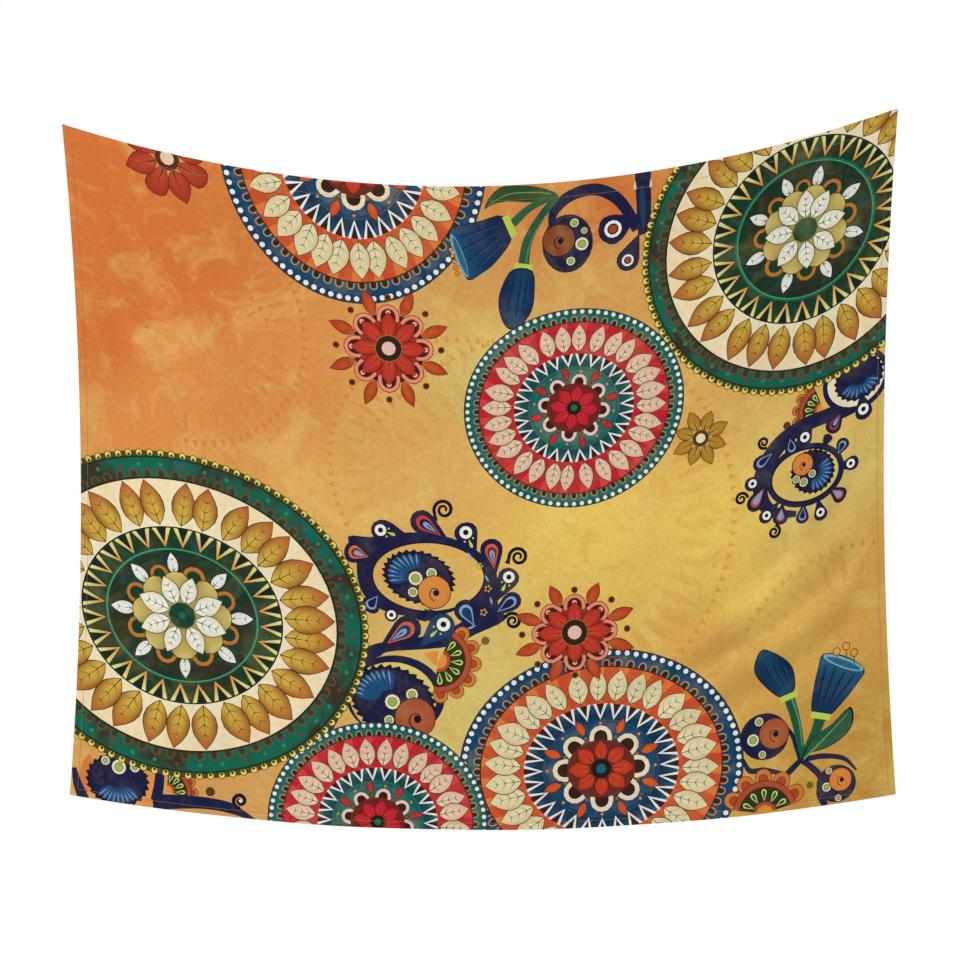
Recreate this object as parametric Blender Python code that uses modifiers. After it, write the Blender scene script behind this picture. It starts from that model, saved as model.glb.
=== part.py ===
"""Printed tapestry hung by two cord loops behind its upper corners.

Metres, +Z up, the printed front facing -Y and the wall on the +Y side. The origin is the
midpoint between the two places where the loops bear on their nails.
The cloth is described in flat coordinates: s runs from its left edge, t from its top edge.
"""

import math

import bmesh
import bpy
from mathutils import Vector

# ---------------------------------------------------------------- cut size and how it hangs
CLOTH_WIDTH = 1.500
CLOTH_HEIGHT = 1.200
SPAN_SLACK = 0.028  # the held corners are this much closer together than the cloth is wide
HANG_LIFT = 0.028  # upper right corner above the upper left one
BOTTOM_SAG = 0.062
LEFT_BOW = 0.026  # the side edges draw in at mid-height
RIGHT_BOW = 0.023
LEFT_DRAW_IN = 0.014  # lower corners, inwards from the upper ones
RIGHT_DRAW_IN = 0.004
LEFT_SLACK = 0.019  # height that the left side loses to its folds
RIGHT_STRETCH = 0.008  # height that the taut right side gains

# ---------------------------------------------------------------- layers
PANEL_THICKNESS = 0.0005
HEM_THICKNESS = 0.0008
SIDE_HEM = 0.015
BOTTOM_HEM = 0.015
SEAM_MARGIN = 0.002  # from a hem's inner fold to its row of stitches
SEAM_CLEARANCE = 0.002  # from the stitches to the plain face of the hem outside them
THREAD_DIAMETER = 0.0005
LAYER_GAP = 0.0003

# ---------------------------------------------------------------- folds
FLAT_BORDER = 0.060  # the side borders hang flat this far in
FOLD_RAMP = 0.240
BELLY_DEPTH = 0.012
SWAG_DEPTH = 0.006
SWAG_PITCH = 0.330
FLUTE_DEPTH = 0.006
FLUTE_PITCH = 0.375
BELLY_START = 0.15  # of half a wave, at the top edge
BELLY_SHARE = 0.75  # of half a wave, from the top edge to the bottom one
SWAG_PHASE = math.pi / 3
FLUTE_LEAN = 0.12  # the flutes spread outwards, per metre of height
NORMAL_STEP = 0.001  # half the distance over which a slope is measured

# ---------------------------------------------------------------- hanging loops
LOOP_CORD = 0.0025
LOOP_INNER_WIDTH = 0.010
LOOP_LEG = 0.008
LOOP_INSET = 0.024  # loop centre, inwards from the cloth's corner
LOOP_BELOW_EDGE = 0.0025  # loop top, below the cloth's top edge
TACK_RADIUS = 0.001
TACK_OVERHANG = 0.002  # bar tack past the outside of each leg
TACK_TO_SEAM = 0.0043  # bar tack's lower end to the top hem's row of stitches

# ---------------------------------------------------------------- care label
LABEL_WIDTH = 0.028
LABEL_HEIGHT = 0.040
LABEL_THICKNESS = 0.0003
LABEL_ABOVE_BOTTOM = 0.180  # label's lower edge, above the cloth's bottom edge
LABEL_TO_SEAM = 0.0009

# ---------------------------------------------------------------- mesh density
COLUMNS = 28
ROWS = 22
ARC_SEGMENTS = 11  # odd, so that the loop's top is a level facet
TACK_SIDES = 12
CORD_TILT = math.pi / 8  # turns the flats of an eight-sided cord to the front and back
SHARP_ANGLE = math.radians(40)

# ---------------------------------------------------------------- sizes that follow
SPAN = math.sqrt((CLOTH_WIDTH - SPAN_SLACK) ** 2 - HANG_LIFT**2)
CHORD = math.hypot(SPAN, HANG_LIFT)
TOP_SAG = math.sqrt(3 / 8 * CHORD * (CLOTH_WIDTH - CHORD))
LOOP_RADIUS = (LOOP_INNER_WIDTH + LOOP_CORD) / 2
HOOK_BELOW_EDGE = LOOP_BELOW_EDGE + LOOP_CORD
HEM_BACK = PANEL_THICKNESS + LAYER_GAP + HEM_THICKNESS
FRONT_Y = -(HEM_BACK + LAYER_GAP + LOOP_CORD / 2)
TACK_LENGTH = LOOP_INNER_WIDTH + 2 * LOOP_CORD + 2 * TACK_OVERHANG
TACK_DROP = LOOP_INNER_WIDTH / 2 + LOOP_LEG + LAYER_GAP + TACK_RADIUS  # below the nail
EDGE_SLOPE = (4 * TOP_SAG + HANG_LIFT) / SPAN  # of the top edge, at the steeper corner
TACK_BELOW_EDGE = HOOK_BELOW_EDGE + TACK_DROP + TACK_RADIUS + EDGE_SLOPE * TACK_LENGTH / 2
TOP_HEM = TACK_BELOW_EDGE + TACK_TO_SEAM + SEAM_MARGIN


def parabola(share):
    """0 at both ends and 1 in the middle."""
    return 4 * share * (1 - share)


CORNER_Z = HOOK_BELOW_EDGE + TOP_SAG * parabola(LOOP_INSET / SPAN)
UPPER_LEFT = Vector((-SPAN / 2, 0, CORNER_Z - HANG_LIFT / 2))
UPPER_RIGHT = Vector((SPAN / 2, 0, CORNER_Z + HANG_LIFT / 2))
LOWER_LEFT = UPPER_LEFT + Vector((LEFT_DRAW_IN, 0, LEFT_SLACK - CLOTH_HEIGHT))
LOWER_RIGHT = UPPER_RIGHT - Vector((RIGHT_DRAW_IN, 0, RIGHT_STRETCH + CLOTH_HEIGHT))


# ---------------------------------------------------------------- the hung surface
def smooth_step(value):
    value = min(max(value, 0.0), 1.0)
    return value * value * (3 - 2 * value)


def forward_fold(s, t):
    """How far the cloth stands forward of its flat side borders."""
    u, v = s / CLOTH_WIDTH, t / CLOTH_HEIGHT
    from_side = min(s, CLOTH_WIDTH - s)
    ramp = smooth_step((from_side - FLAT_BORDER) / FOLD_RAMP)
    belly = BELLY_DEPTH * math.sin(math.pi * (BELLY_START + BELLY_SHARE * v))
    swag = SWAG_DEPTH * (1 - v) * math.sin(math.tau * t / SWAG_PITCH + SWAG_PHASE)
    lean = FLUTE_LEAN * (t - CLOTH_HEIGHT) * (1 - 2 * u)
    flute = FLUTE_DEPTH * v * v * math.sin(math.tau * (s + lean) / FLUTE_PITCH)
    return ramp * (belly + swag + flute)


def front_point(s, t):
    """A Coons patch of the four hanging edges, with the folds added."""
    u, v = s / CLOTH_WIDTH, t / CLOTH_HEIGHT
    top = UPPER_LEFT.lerp(UPPER_RIGHT, u) - Vector((0, 0, TOP_SAG * parabola(u)))
    bottom = LOWER_LEFT.lerp(LOWER_RIGHT, u) - Vector((0, 0, BOTTOM_SAG * parabola(u)))
    left = UPPER_LEFT.lerp(LOWER_LEFT, v) + Vector((LEFT_BOW * parabola(v), 0, 0))
    right = UPPER_RIGHT.lerp(LOWER_RIGHT, v) - Vector((RIGHT_BOW * parabola(v), 0, 0))
    corners = UPPER_LEFT.lerp(UPPER_RIGHT, u).lerp(LOWER_LEFT.lerp(LOWER_RIGHT, u), v)
    point = top.lerp(bottom, v) + left.lerp(right, u) - corners
    point.y = FRONT_Y - forward_fold(s, t)
    return point


def back_normal(s, t):
    along = front_point(s + NORMAL_STEP, t) - front_point(s - NORMAL_STEP, t)
    down = front_point(s, t + NORMAL_STEP) - front_point(s, t - NORMAL_STEP)
    return along.cross(down).normalized()


def layer_point(s, t, depth):
    """The point this far behind the cloth's front face."""
    return front_point(s, t) + back_normal(s, t) * depth


def hem_lines(hem):
    """A hem's edge, the end of its plain face, its seam and its inner fold, from the edge."""
    return [0, hem - SEAM_MARGIN - SEAM_CLEARANCE, hem - SEAM_MARGIN, hem]


def stations(length, first_hem, last_hem, count):
    """Shared grid lines: those of both hems and evenly spaced ones between."""
    inner = length - first_hem - last_hem
    between = [first_hem + inner * i / count for i in range(1, count)]
    far = [length - line for line in reversed(hem_lines(last_hem))]
    return hem_lines(first_hem) + between + far


S_LINES = stations(CLOTH_WIDTH, SIDE_HEM, SIDE_HEM, COLUMNS)
T_LINES = stations(CLOTH_HEIGHT, TOP_HEM, BOTTOM_HEM, ROWS)
LEFT_SEAM, RIGHT_SEAM = S_LINES[2], S_LINES[-3]
TOP_SEAM, BOTTOM_SEAM = T_LINES[2], T_LINES[-3]


# ---------------------------------------------------------------- scene helpers
def clear_scene():
    for old in list(bpy.data.objects):
        bpy.data.objects.remove(old, do_unlink=True)


def new_collection(name):
    made = bpy.data.collections.new(name)
    bpy.context.scene.collection.children.link(made)
    return made


def material(name, colour, roughness, sheen=0.0):
    made = bpy.data.materials.new(name)
    made.use_nodes = True
    shader = made.node_tree.nodes["Principled BSDF"]
    shader.inputs["Base Color"].default_value = (*colour, 1)
    shader.inputs["Roughness"].default_value = roughness
    shader.inputs["Metallic"].default_value = 0.0
    shader.inputs["Sheen Weight"].default_value = sheen
    made.diffuse_color = (*colour, 1)
    return made


def add_object(name, data, colour, roughness=0.85, sheen=0.2):
    piece = bpy.data.objects.new(name, data)
    data.materials.append(material(name, colour, roughness, sheen))
    TAPESTRY.objects.link(piece)
    return piece


def add_axis(name, place, direction):
    """An empty whose local X runs along a joint's axis."""
    axis = bpy.data.objects.new(name, None)
    axis.empty_display_size = 0.05
    axis.location = place
    axis.rotation_euler = Vector(direction).to_track_quat("X", "Z").to_euler()
    TAPESTRY.objects.link(axis)
    return axis


def hang_on(pieces, axis):
    bpy.context.view_layer.update()
    for piece in pieces:
        piece.parent = axis
        piece.matrix_parent_inverse = axis.matrix_world.inverted()


# ---------------------------------------------------------------- pieces
def cloth_layer(name, s_lines, t_lines, depth, thickness, colour):
    """A sheet of cloth over part of the shared grid, solidified towards the wall."""
    mesh = bpy.data.meshes.new(name)
    sheet = bmesh.new()
    across, down = len(s_lines) - 1, len(t_lines) - 1
    bmesh.ops.create_grid(sheet, x_segments=across, y_segments=down, size=1)
    for vert in sheet.verts:
        column = round((vert.co.x + 1) / 2 * across)
        row = round((1 - vert.co.y) / 2 * down)
        vert.co = layer_point(s_lines[column], t_lines[row], depth)
    bmesh.ops.triangulate(sheet, faces=sheet.faces[:], quad_method="FIXED")
    sheet.to_mesh(mesh)
    sheet.free()
    piece = add_object(name, mesh, colour)
    body = piece.modifiers.new("thickness", "SOLIDIFY")
    body.thickness = thickness
    body.offset = -1
    return piece


def thread_run(name, points, diameter, colour, sides=1, tilt=0.0):
    """A round thread or cord along a run of points."""
    curve = bpy.data.curves.new(name, "CURVE")
    curve.dimensions = "3D"
    curve.bevel_depth = diameter / 2
    curve.bevel_resolution = sides
    curve.use_fill_caps = True
    spline = curve.splines.new("POLY")
    spline.points.add(len(points) - 1)
    for target, place in zip(spline.points, points):
        target.co = (*place, 1)
        target.tilt = tilt
    return add_object(name, curve, colour, roughness=0.6, sheen=0.1)


def hem_and_threads(side, s_lines, t_lines, run):
    """One turned hem, its needle thread on the front and its bobbin thread on the back."""
    hem = cloth_layer(
        f"{side}_hem", s_lines, t_lines, PANEL_THICKNESS + LAYER_GAP, HEM_THICKNESS, CLOTH_BACK
    )
    clear = LAYER_GAP + THREAD_DIAMETER / 2
    needle = [layer_point(s, t, -clear) for s, t in run]
    bobbin = [layer_point(s, t, HEM_BACK + clear) for s, t in run]
    return [
        hem,
        thread_run(f"{side}_hem_needle_thread", needle, THREAD_DIAMETER, THREAD),
        thread_run(f"{side}_hem_bobbin_thread", bobbin, THREAD_DIAMETER, THREAD),
    ]


def make_hems():
    """The top and bottom hems run right across, the side hems between them."""
    between = T_LINES[3:-3]
    between[0] += LAYER_GAP
    between[-1] -= LAYER_GAP
    crossing = LAYER_GAP + THREAD_DIAMETER
    along = S_LINES[2:-2]
    down = [TOP_SEAM + crossing, *T_LINES[3:-3], BOTTOM_SEAM - crossing]
    pieces = hem_and_threads("top", S_LINES, T_LINES[:4], [(s, TOP_SEAM) for s in along])
    pieces += hem_and_threads("bottom", S_LINES, T_LINES[-4:], [(s, BOTTOM_SEAM) for s in along])
    pieces += hem_and_threads("left", S_LINES[:4], between, [(LEFT_SEAM, t) for t in down])
    pieces += hem_and_threads("right", S_LINES[-4:], between, [(RIGHT_SEAM, t) for t in down])
    return pieces


def hook_place(direction):
    """Where a loop bears on its nail; direction is -1 for the left loop and 1 for the right."""
    x = direction * (SPAN / 2 - LOOP_INSET)
    return Vector((x, 0, direction * HANG_LIFT * (0.5 - LOOP_INSET / SPAN)))


def make_loop(name, hook):
    """A cord loop: two legs and a half circle, lying against the back of the top hem."""
    centre = hook - Vector((0, 0, LOOP_INNER_WIDTH / 2))
    path = [centre + Vector((-LOOP_RADIUS, 0, -LOOP_LEG))]
    for i in range(ARC_SEGMENTS + 1):
        turn = math.pi * (1 - i / ARC_SEGMENTS)
        path.append(centre + LOOP_RADIUS * Vector((math.cos(turn), 0, math.sin(turn))))
    path.append(centre + Vector((LOOP_RADIUS, 0, -LOOP_LEG)))
    return thread_run(name, path, LOOP_CORD, CORD, sides=2, tilt=CORD_TILT)


def make_tack(name, hook):
    """The bar tack that the loop's two ends are sewn under."""
    mesh = bpy.data.meshes.new(name)
    bar = bmesh.new()
    bmesh.ops.create_cone(
        bar,
        cap_ends=True,
        segments=TACK_SIDES,
        radius1=TACK_RADIUS,
        radius2=TACK_RADIUS,
        depth=TACK_LENGTH,
    )
    bar.to_mesh(mesh)
    bar.free()
    mesh.shade_smooth()
    mesh.set_sharp_from_angle(angle=SHARP_ANGLE)
    piece = add_object(name, mesh, THREAD)
    behind = FRONT_Y + HEM_BACK + LAYER_GAP + TACK_RADIUS
    piece.location = Vector((hook.x, behind, hook.z - TACK_DROP))
    piece.rotation_euler = (0, math.pi / 2, 0)
    return piece


def label_hinge():
    """The sewn edge of the care label: its middle and its direction, downwards."""
    s = LEFT_SEAM + THREAD_DIAMETER / 2 + LABEL_TO_SEAM
    depth = HEM_BACK + LAYER_GAP + LABEL_THICKNESS / 2
    low = CLOTH_HEIGHT - LABEL_ABOVE_BOTTOM
    upper = layer_point(s, low - LABEL_HEIGHT, depth)
    lower = layer_point(s, low, depth)
    return (upper + lower) / 2, (lower - upper).normalized()


def make_label():
    """A blank woven label, caught by its edge in the left hem's seam and free to turn."""
    middle, downwards = label_hinge()
    mesh = bpy.data.meshes.new("care_label")
    leaf = bmesh.new()
    bmesh.ops.create_cube(leaf, size=1)
    bmesh.ops.scale(leaf, vec=(LABEL_WIDTH, LABEL_THICKNESS, LABEL_HEIGHT), verts=leaf.verts)
    bmesh.ops.translate(leaf, vec=(LABEL_WIDTH / 2, 0, 0), verts=leaf.verts)
    leaf.to_mesh(mesh)
    leaf.free()
    piece = add_object("care_label", mesh, LABEL_WHITE, roughness=0.5)
    piece.location = middle
    piece.rotation_euler = (0, math.atan2(downwards.x, downwards.z) - math.pi, 0)
    hang_on([piece], add_axis("care_label_axis", middle, -downwards))
    return piece


CLOTH_PRINT = (0.80, 0.46, 0.13)
CLOTH_BACK = (0.80, 0.66, 0.48)
THREAD = (0.72, 0.55, 0.30)
CORD = (0.82, 0.76, 0.64)
LABEL_WHITE = (0.88, 0.88, 0.86)

clear_scene()
TAPESTRY = new_collection("tapestry_wall_hanging")
panel = cloth_layer("printed_panel", S_LINES, T_LINES, 0, PANEL_THICKNESS, CLOTH_PRINT)
cloth = [panel, *make_hems()]
hooks = {"left": hook_place(-1), "right": hook_place(1)}
for hand, place in hooks.items():
    make_loop(f"upper_{hand}_loop", place)
    cloth.append(make_tack(f"upper_{hand}_bar_tack", place))
label = make_label()
swing = add_axis(
    "cloth_swing_axis", Vector((0, 0, LOOP_CORD / 2)), hooks["left"] - hooks["right"]
)
hang_on([*cloth, label.parent], swing)
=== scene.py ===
"""Looks of the printed tapestry: the printed cloth, its hems, stitches, loops and label.

Metres, +Z up, the print facing -Y. The cloth is described in flat coordinates: s runs from
its left edge, t from its top edge. The print is drawn in millimetres of flat cloth.
"""

import cmath
import math
import random

import bpy
import numpy as np
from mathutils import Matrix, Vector
from mathutils.geometry import delaunay_2d_cdt


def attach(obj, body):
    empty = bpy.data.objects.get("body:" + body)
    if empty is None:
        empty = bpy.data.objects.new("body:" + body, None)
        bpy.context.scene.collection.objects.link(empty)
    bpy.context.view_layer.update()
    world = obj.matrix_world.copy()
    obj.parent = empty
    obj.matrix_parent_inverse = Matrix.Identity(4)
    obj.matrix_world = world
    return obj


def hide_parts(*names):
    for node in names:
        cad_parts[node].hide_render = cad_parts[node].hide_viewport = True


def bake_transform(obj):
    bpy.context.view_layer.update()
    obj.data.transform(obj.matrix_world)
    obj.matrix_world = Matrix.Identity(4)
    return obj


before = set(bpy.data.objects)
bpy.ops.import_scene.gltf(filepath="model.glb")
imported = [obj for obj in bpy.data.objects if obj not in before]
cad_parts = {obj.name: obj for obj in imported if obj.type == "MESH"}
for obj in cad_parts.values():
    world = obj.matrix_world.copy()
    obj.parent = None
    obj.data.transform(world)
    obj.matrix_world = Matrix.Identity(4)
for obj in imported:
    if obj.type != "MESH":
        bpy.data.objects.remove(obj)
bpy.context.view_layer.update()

# ---------------------------------------------------------------- the hung cloth, as in the frame
CLOTH_WIDTH = 1.500
CLOTH_HEIGHT = 1.200
SPAN_SLACK = 0.028
HANG_LIFT = 0.028
BOTTOM_SAG = 0.062
LEFT_BOW = 0.026
RIGHT_BOW = 0.023
LEFT_DRAW_IN = 0.014
RIGHT_DRAW_IN = 0.004
LEFT_SLACK = 0.019
RIGHT_STRETCH = 0.008
PANEL_THICKNESS = 0.0005
HEM_THICKNESS = 0.0008
SIDE_HEM = 0.015
BOTTOM_HEM = 0.015
SEAM_MARGIN = 0.002
THREAD_DIAMETER = 0.0005
LAYER_GAP = 0.0003
FLAT_BORDER = 0.060
FOLD_RAMP = 0.240
BELLY_DEPTH = 0.012
BELLY_START = 0.15
BELLY_SHARE = 0.75
SWAG_DEPTH = 0.006
SWAG_PITCH = 0.330
SWAG_PHASE = math.pi / 3
FLUTE_DEPTH = 0.006
FLUTE_PITCH = 0.375
FLUTE_LEAN = 0.12
LOOP_CORD = 0.0025
LOOP_INNER_WIDTH = 0.010
LOOP_LEG = 0.008
LOOP_INSET = 0.024
LOOP_BELOW_EDGE = 0.0025
TACK_RADIUS = 0.001
TACK_OVERHANG = 0.002
TACK_TO_SEAM = 0.0043
LABEL_WIDTH = 0.028
LABEL_HEIGHT = 0.040
LABEL_THICKNESS = 0.0003
LABEL_ABOVE_BOTTOM = 0.180
LABEL_TO_SEAM = 0.0009

SPAN = math.sqrt((CLOTH_WIDTH - SPAN_SLACK) ** 2 - HANG_LIFT**2)
CHORD = math.hypot(SPAN, HANG_LIFT)
TOP_SAG = math.sqrt(3 / 8 * CHORD * (CLOTH_WIDTH - CHORD))
LOOP_RADIUS = (LOOP_INNER_WIDTH + LOOP_CORD) / 2
HOOK_BELOW_EDGE = LOOP_BELOW_EDGE + LOOP_CORD
HEM_BACK = PANEL_THICKNESS + LAYER_GAP + HEM_THICKNESS
FRONT_Y = -(HEM_BACK + LAYER_GAP + LOOP_CORD / 2)
TACK_LENGTH = LOOP_INNER_WIDTH + 2 * LOOP_CORD + 2 * TACK_OVERHANG
TACK_DROP = LOOP_INNER_WIDTH / 2 + LOOP_LEG + LAYER_GAP + TACK_RADIUS
EDGE_SLOPE = (4 * TOP_SAG + HANG_LIFT) / SPAN
TACK_BELOW_EDGE = HOOK_BELOW_EDGE + TACK_DROP + TACK_RADIUS + EDGE_SLOPE * TACK_LENGTH / 2
TOP_HEM = TACK_BELOW_EDGE + TACK_TO_SEAM + SEAM_MARGIN
LEFT_SEAM, RIGHT_SEAM = SIDE_HEM - SEAM_MARGIN, CLOTH_WIDTH - SIDE_HEM + SEAM_MARGIN
TOP_SEAM, BOTTOM_SEAM = TOP_HEM - SEAM_MARGIN, CLOTH_HEIGHT - BOTTOM_HEM + SEAM_MARGIN

# ---------------------------------------------------------------- creases too small for the frame
CREASE_CLEAR = 0.020  # the hems stay smooth this far in
CREASE_RAMP = 0.070
CREASE_FINE = 0.0004
CREASE_CURVE = 0.12
RIPPLE_DEPTH = 0.0004
CORNER_FOLDS = (  # middle s and t, direction in degrees, reach along and across, pitch, depth
    (1.320, 0.870, -27, 0.320, 0.140, 0.092, 0.0052),
    (1.420, 0.560, -62, 0.260, 0.060, 0.075, 0.0016),
    (0.130, 0.330, 70, 0.260, 0.070, 0.085, 0.0016),
    (1.180, 0.700, -20, 0.260, 0.060, 0.080, 0.0013),
)


def parabola(share):
    return 4 * share * (1 - share)


def smooth_step(value):
    value = np.clip(value, 0.0, 1.0)
    return value * value * (3 - 2 * value)


def lerp(start, end, share):
    return start + (end - start) * np.asarray(share)[..., None]


CORNER_Z = HOOK_BELOW_EDGE + TOP_SAG * parabola(LOOP_INSET / SPAN)
UPPER_LEFT = np.array([-SPAN / 2, 0, CORNER_Z - HANG_LIFT / 2])
UPPER_RIGHT = np.array([SPAN / 2, 0, CORNER_Z + HANG_LIFT / 2])
LOWER_LEFT = UPPER_LEFT + np.array([LEFT_DRAW_IN, 0, LEFT_SLACK - CLOTH_HEIGHT])
LOWER_RIGHT = UPPER_RIGHT - np.array([RIGHT_DRAW_IN, 0, RIGHT_STRETCH + CLOTH_HEIGHT])


def crease_groups(s, t):
    """For each group of small folds: its strength here, in metres, and its phase in radians."""
    for middle_s, middle_t, degrees, reach, breadth, pitch, depth in CORNER_FOLDS:
        angle = math.radians(degrees)
        ds, dt = s - middle_s, t - middle_t
        along = ds * math.cos(angle) + dt * math.sin(angle)
        across = dt * math.cos(angle) - ds * math.sin(angle) + CREASE_CURVE * along**2
        fade = np.exp(-((along / reach) ** 2) - (across / breadth) ** 2)
        yield depth * fade, math.tau * across / pitch


def creases(s, t):
    """Small folds inside the hems, in groups that fade out all round."""
    from_edge = np.minimum(np.minimum(s, CLOTH_WIDTH - s), np.minimum(t, CLOTH_HEIGHT - t))
    total = 0.0
    for strength, phase in crease_groups(s, t):
        total = total + strength * np.sin(phase)
    slow = np.sin(31 * s + 17 * t + 2 * np.sin(9 * t))
    quick = np.sin(23 * t - 12 * s + 2 * np.sin(7 * s))
    return smooth_step((from_edge - CREASE_CLEAR) / CREASE_RAMP) * (total + RIPPLE_DEPTH * slow * quick)


def creased(s, t):
    """Whether the small folds bend the cloth enough here to need finer steps."""
    return any(strength > CREASE_FINE for strength, _ in crease_groups(s, t))


def forward_fold(s, t):
    """How far the cloth's face stands forward of the plane through its edges."""
    u, v = s / CLOTH_WIDTH, t / CLOTH_HEIGHT
    ramp = smooth_step((np.minimum(s, CLOTH_WIDTH - s) - FLAT_BORDER) / FOLD_RAMP)
    belly = BELLY_DEPTH * np.sin(math.pi * (BELLY_START + BELLY_SHARE * v))
    swag = SWAG_DEPTH * (1 - v) * np.sin(math.tau * t / SWAG_PITCH + SWAG_PHASE)
    lean = FLUTE_LEAN * (t - CLOTH_HEIGHT) * (1 - 2 * u)
    flute = FLUTE_DEPTH * v * v * np.sin(math.tau * (s + lean) / FLUTE_PITCH)
    return ramp * (belly + swag + flute) + creases(s, t)


def front_point(s, t):
    """The front face's points for arrays of s and t."""
    s, t = np.asarray(s, float), np.asarray(t, float)
    u, v = s / CLOTH_WIDTH, t / CLOTH_HEIGHT
    down, right = np.array([0, 0, -1.0]), np.array([1.0, 0, 0])
    top = lerp(UPPER_LEFT, UPPER_RIGHT, u) + TOP_SAG * parabola(u)[..., None] * down
    bottom = lerp(LOWER_LEFT, LOWER_RIGHT, u) + BOTTOM_SAG * parabola(u)[..., None] * down
    left = lerp(UPPER_LEFT, LOWER_LEFT, v) + LEFT_BOW * parabola(v)[..., None] * right
    side = lerp(UPPER_RIGHT, LOWER_RIGHT, v) - RIGHT_BOW * parabola(v)[..., None] * right
    corners = lerp(lerp(UPPER_LEFT, UPPER_RIGHT, u), lerp(LOWER_LEFT, LOWER_RIGHT, u), v)
    points = lerp(top, bottom, v) + lerp(left, side, u) - corners
    points[..., 1] = FRONT_Y - forward_fold(s, t)
    return points


def back_normal(s, t, step=0.001):
    """Unit normals that point out of the cloth's back."""
    s, t = np.asarray(s, float), np.asarray(t, float)
    along = front_point(s + step, t) - front_point(s - step, t)
    down = front_point(s, t + step) - front_point(s, t - step)
    normal = np.cross(along, down)
    return normal / np.linalg.norm(normal, axis=-1, keepdims=True)


def layer_point(s, t, depth):
    """Points this far behind the front face."""
    return front_point(s, t) + back_normal(s, t) * np.asarray(depth)[..., None]


# ================================================================ the print, in millimetres
WIDTH_MM, HEIGHT_MM = 1500, 1200
SHAPES = []  # (outline, paint, mottle): a later shape lies on the earlier ones
DICE = random.Random(7)


# ---------------------------------------------------------------- outlines
def lay(outline, paint, mottle=0.15):
    """Adds a shape of the print, unless all of it is off the cloth."""
    inside = [p for p in outline if -2 < p.real < WIDTH_MM + 2 and -2 < p.imag < HEIGHT_MM + 2]
    if inside:
        SHAPES.append((outline, paint if callable(paint) else (lambda p: paint), mottle))


def turned(degrees):
    return cmath.rect(1, math.radians(degrees))


def ellipse(centre, rx, ry, count=16, tilt=0.0, start=0.0):
    spin = turned(tilt)
    angles = [math.tau * (i / count) + math.radians(start) for i in range(count)]
    return [centre + spin * complex(rx * math.cos(a), ry * math.sin(a)) for a in angles]


def disc(centre, radius, paint, count=10, rim=None, rim_width=1.6, mottle=0.15):
    """A round spot, with a rim round it if one is given."""
    if rim:
        lay(ellipse(centre, radius + rim_width, radius + rim_width, count), rim)
    lay(ellipse(centre, radius, radius, count), paint, mottle)


LEAF = [
    (0.0, 0.0), (0.12, 0.48), (0.28, 0.88), (0.45, 1.0), (0.62, 0.9), (0.78, 0.62), (0.9, 0.3), (1.0, 0.0),
]
SPEAR = [(0.0, 0.0), (0.2, 0.55), (0.45, 0.95), (0.65, 1.0), (0.85, 0.6), (1.0, 0.0)]
DROP = [(0.0, 0.0), (0.35, 0.55), (0.6, 0.92), (0.75, 1.0), (0.88, 0.84), (0.97, 0.45), (1.0, 0.0)]
BLUNT = [(0.0, 0.25), (0.3, 0.75), (0.6, 1.0), (0.82, 0.95), (0.95, 0.6), (1.0, 0.0)]


def blade(base, tip, width, profile=LEAF, grow=0.0, bend=0.0):
    """An outline along the line from base to tip; grow widens it all round."""
    along = tip - base
    ahead = along / abs(along)
    base, along = base - ahead * grow, along + 2 * ahead * grow
    side = 1j * ahead * (width / 2 + grow)
    curve = 1j * ahead * bend

    def place(u, h):
        return base + along * u + side * h + curve * 4 * u * (1 - u)

    right = [place(u, h) for u, h in profile]
    left = [place(u, -h) for u, h in reversed(profile) if h > 0]
    return right + left


def spline(a, b, c, d, steps):
    """Points from b up to c on a Catmull-Rom curve."""
    for i in range(steps):
        x = i / steps
        square, cube = 2 * a - 5 * b + 4 * c - d, 3 * b - a - 3 * c + d
        yield 0.5 * (2 * b + (c - a) * x + square * x**2 + cube * x**3)


def smooth(points, steps=5):
    """A curve through the points."""
    ends = [2 * points[0] - points[1], *points, 2 * points[-1] - points[-2]]
    run = [p for four in zip(ends, ends[1:], ends[2:], ends[3:]) for p in spline(*four, steps)]
    return run + [points[-1]]


def band(path, widths):
    """A stroke along a path, its width going through the widths from end to end."""
    left, right = [], []
    for i, point in enumerate(path):
        ahead = path[min(i + 1, len(path) - 1)] - path[max(i - 1, 0)]
        place = i / (len(path) - 1) * (len(widths) - 1)
        low = min(int(place), len(widths) - 2)
        width = widths[low] + (widths[low + 1] - widths[low]) * (place - low)
        side = 1j * ahead / abs(ahead) * width / 2
        left.append(point + side)
        right.append(point - side)
    return left + right[::-1]


def loop_of(points, steps=4):
    """A smooth closed outline through the points."""
    n = len(points)
    return [p for k in range(n) for p in spline(*(points[(k + j - 1) % n] for j in range(4)), steps)]


def grown(outline, middle, share):
    """The outline, larger or smaller about a point."""
    return [p + (p - middle) * share for p in outline]


def curl(centre, radius, start, turns=1.6, paint=None, width=4.5, hand=1):
    """A spiral that winds inwards to its centre."""
    steps = int(16 * turns)
    path = []
    for i in range(steps + 1):
        x = i / steps
        path.append(
            centre + cmath.rect(radius * (1 - 0.82 * x), math.radians(start) + hand * math.tau * turns * x)
        )
    lay(band(path, [width, width, width * 0.8, width * 0.6]), paint or INK)


# ---------------------------------------------------------------- colours, as displayed
def mix(a, b, share):
    return tuple(x + (y - x) * share for x, y in zip(a, b))


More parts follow.
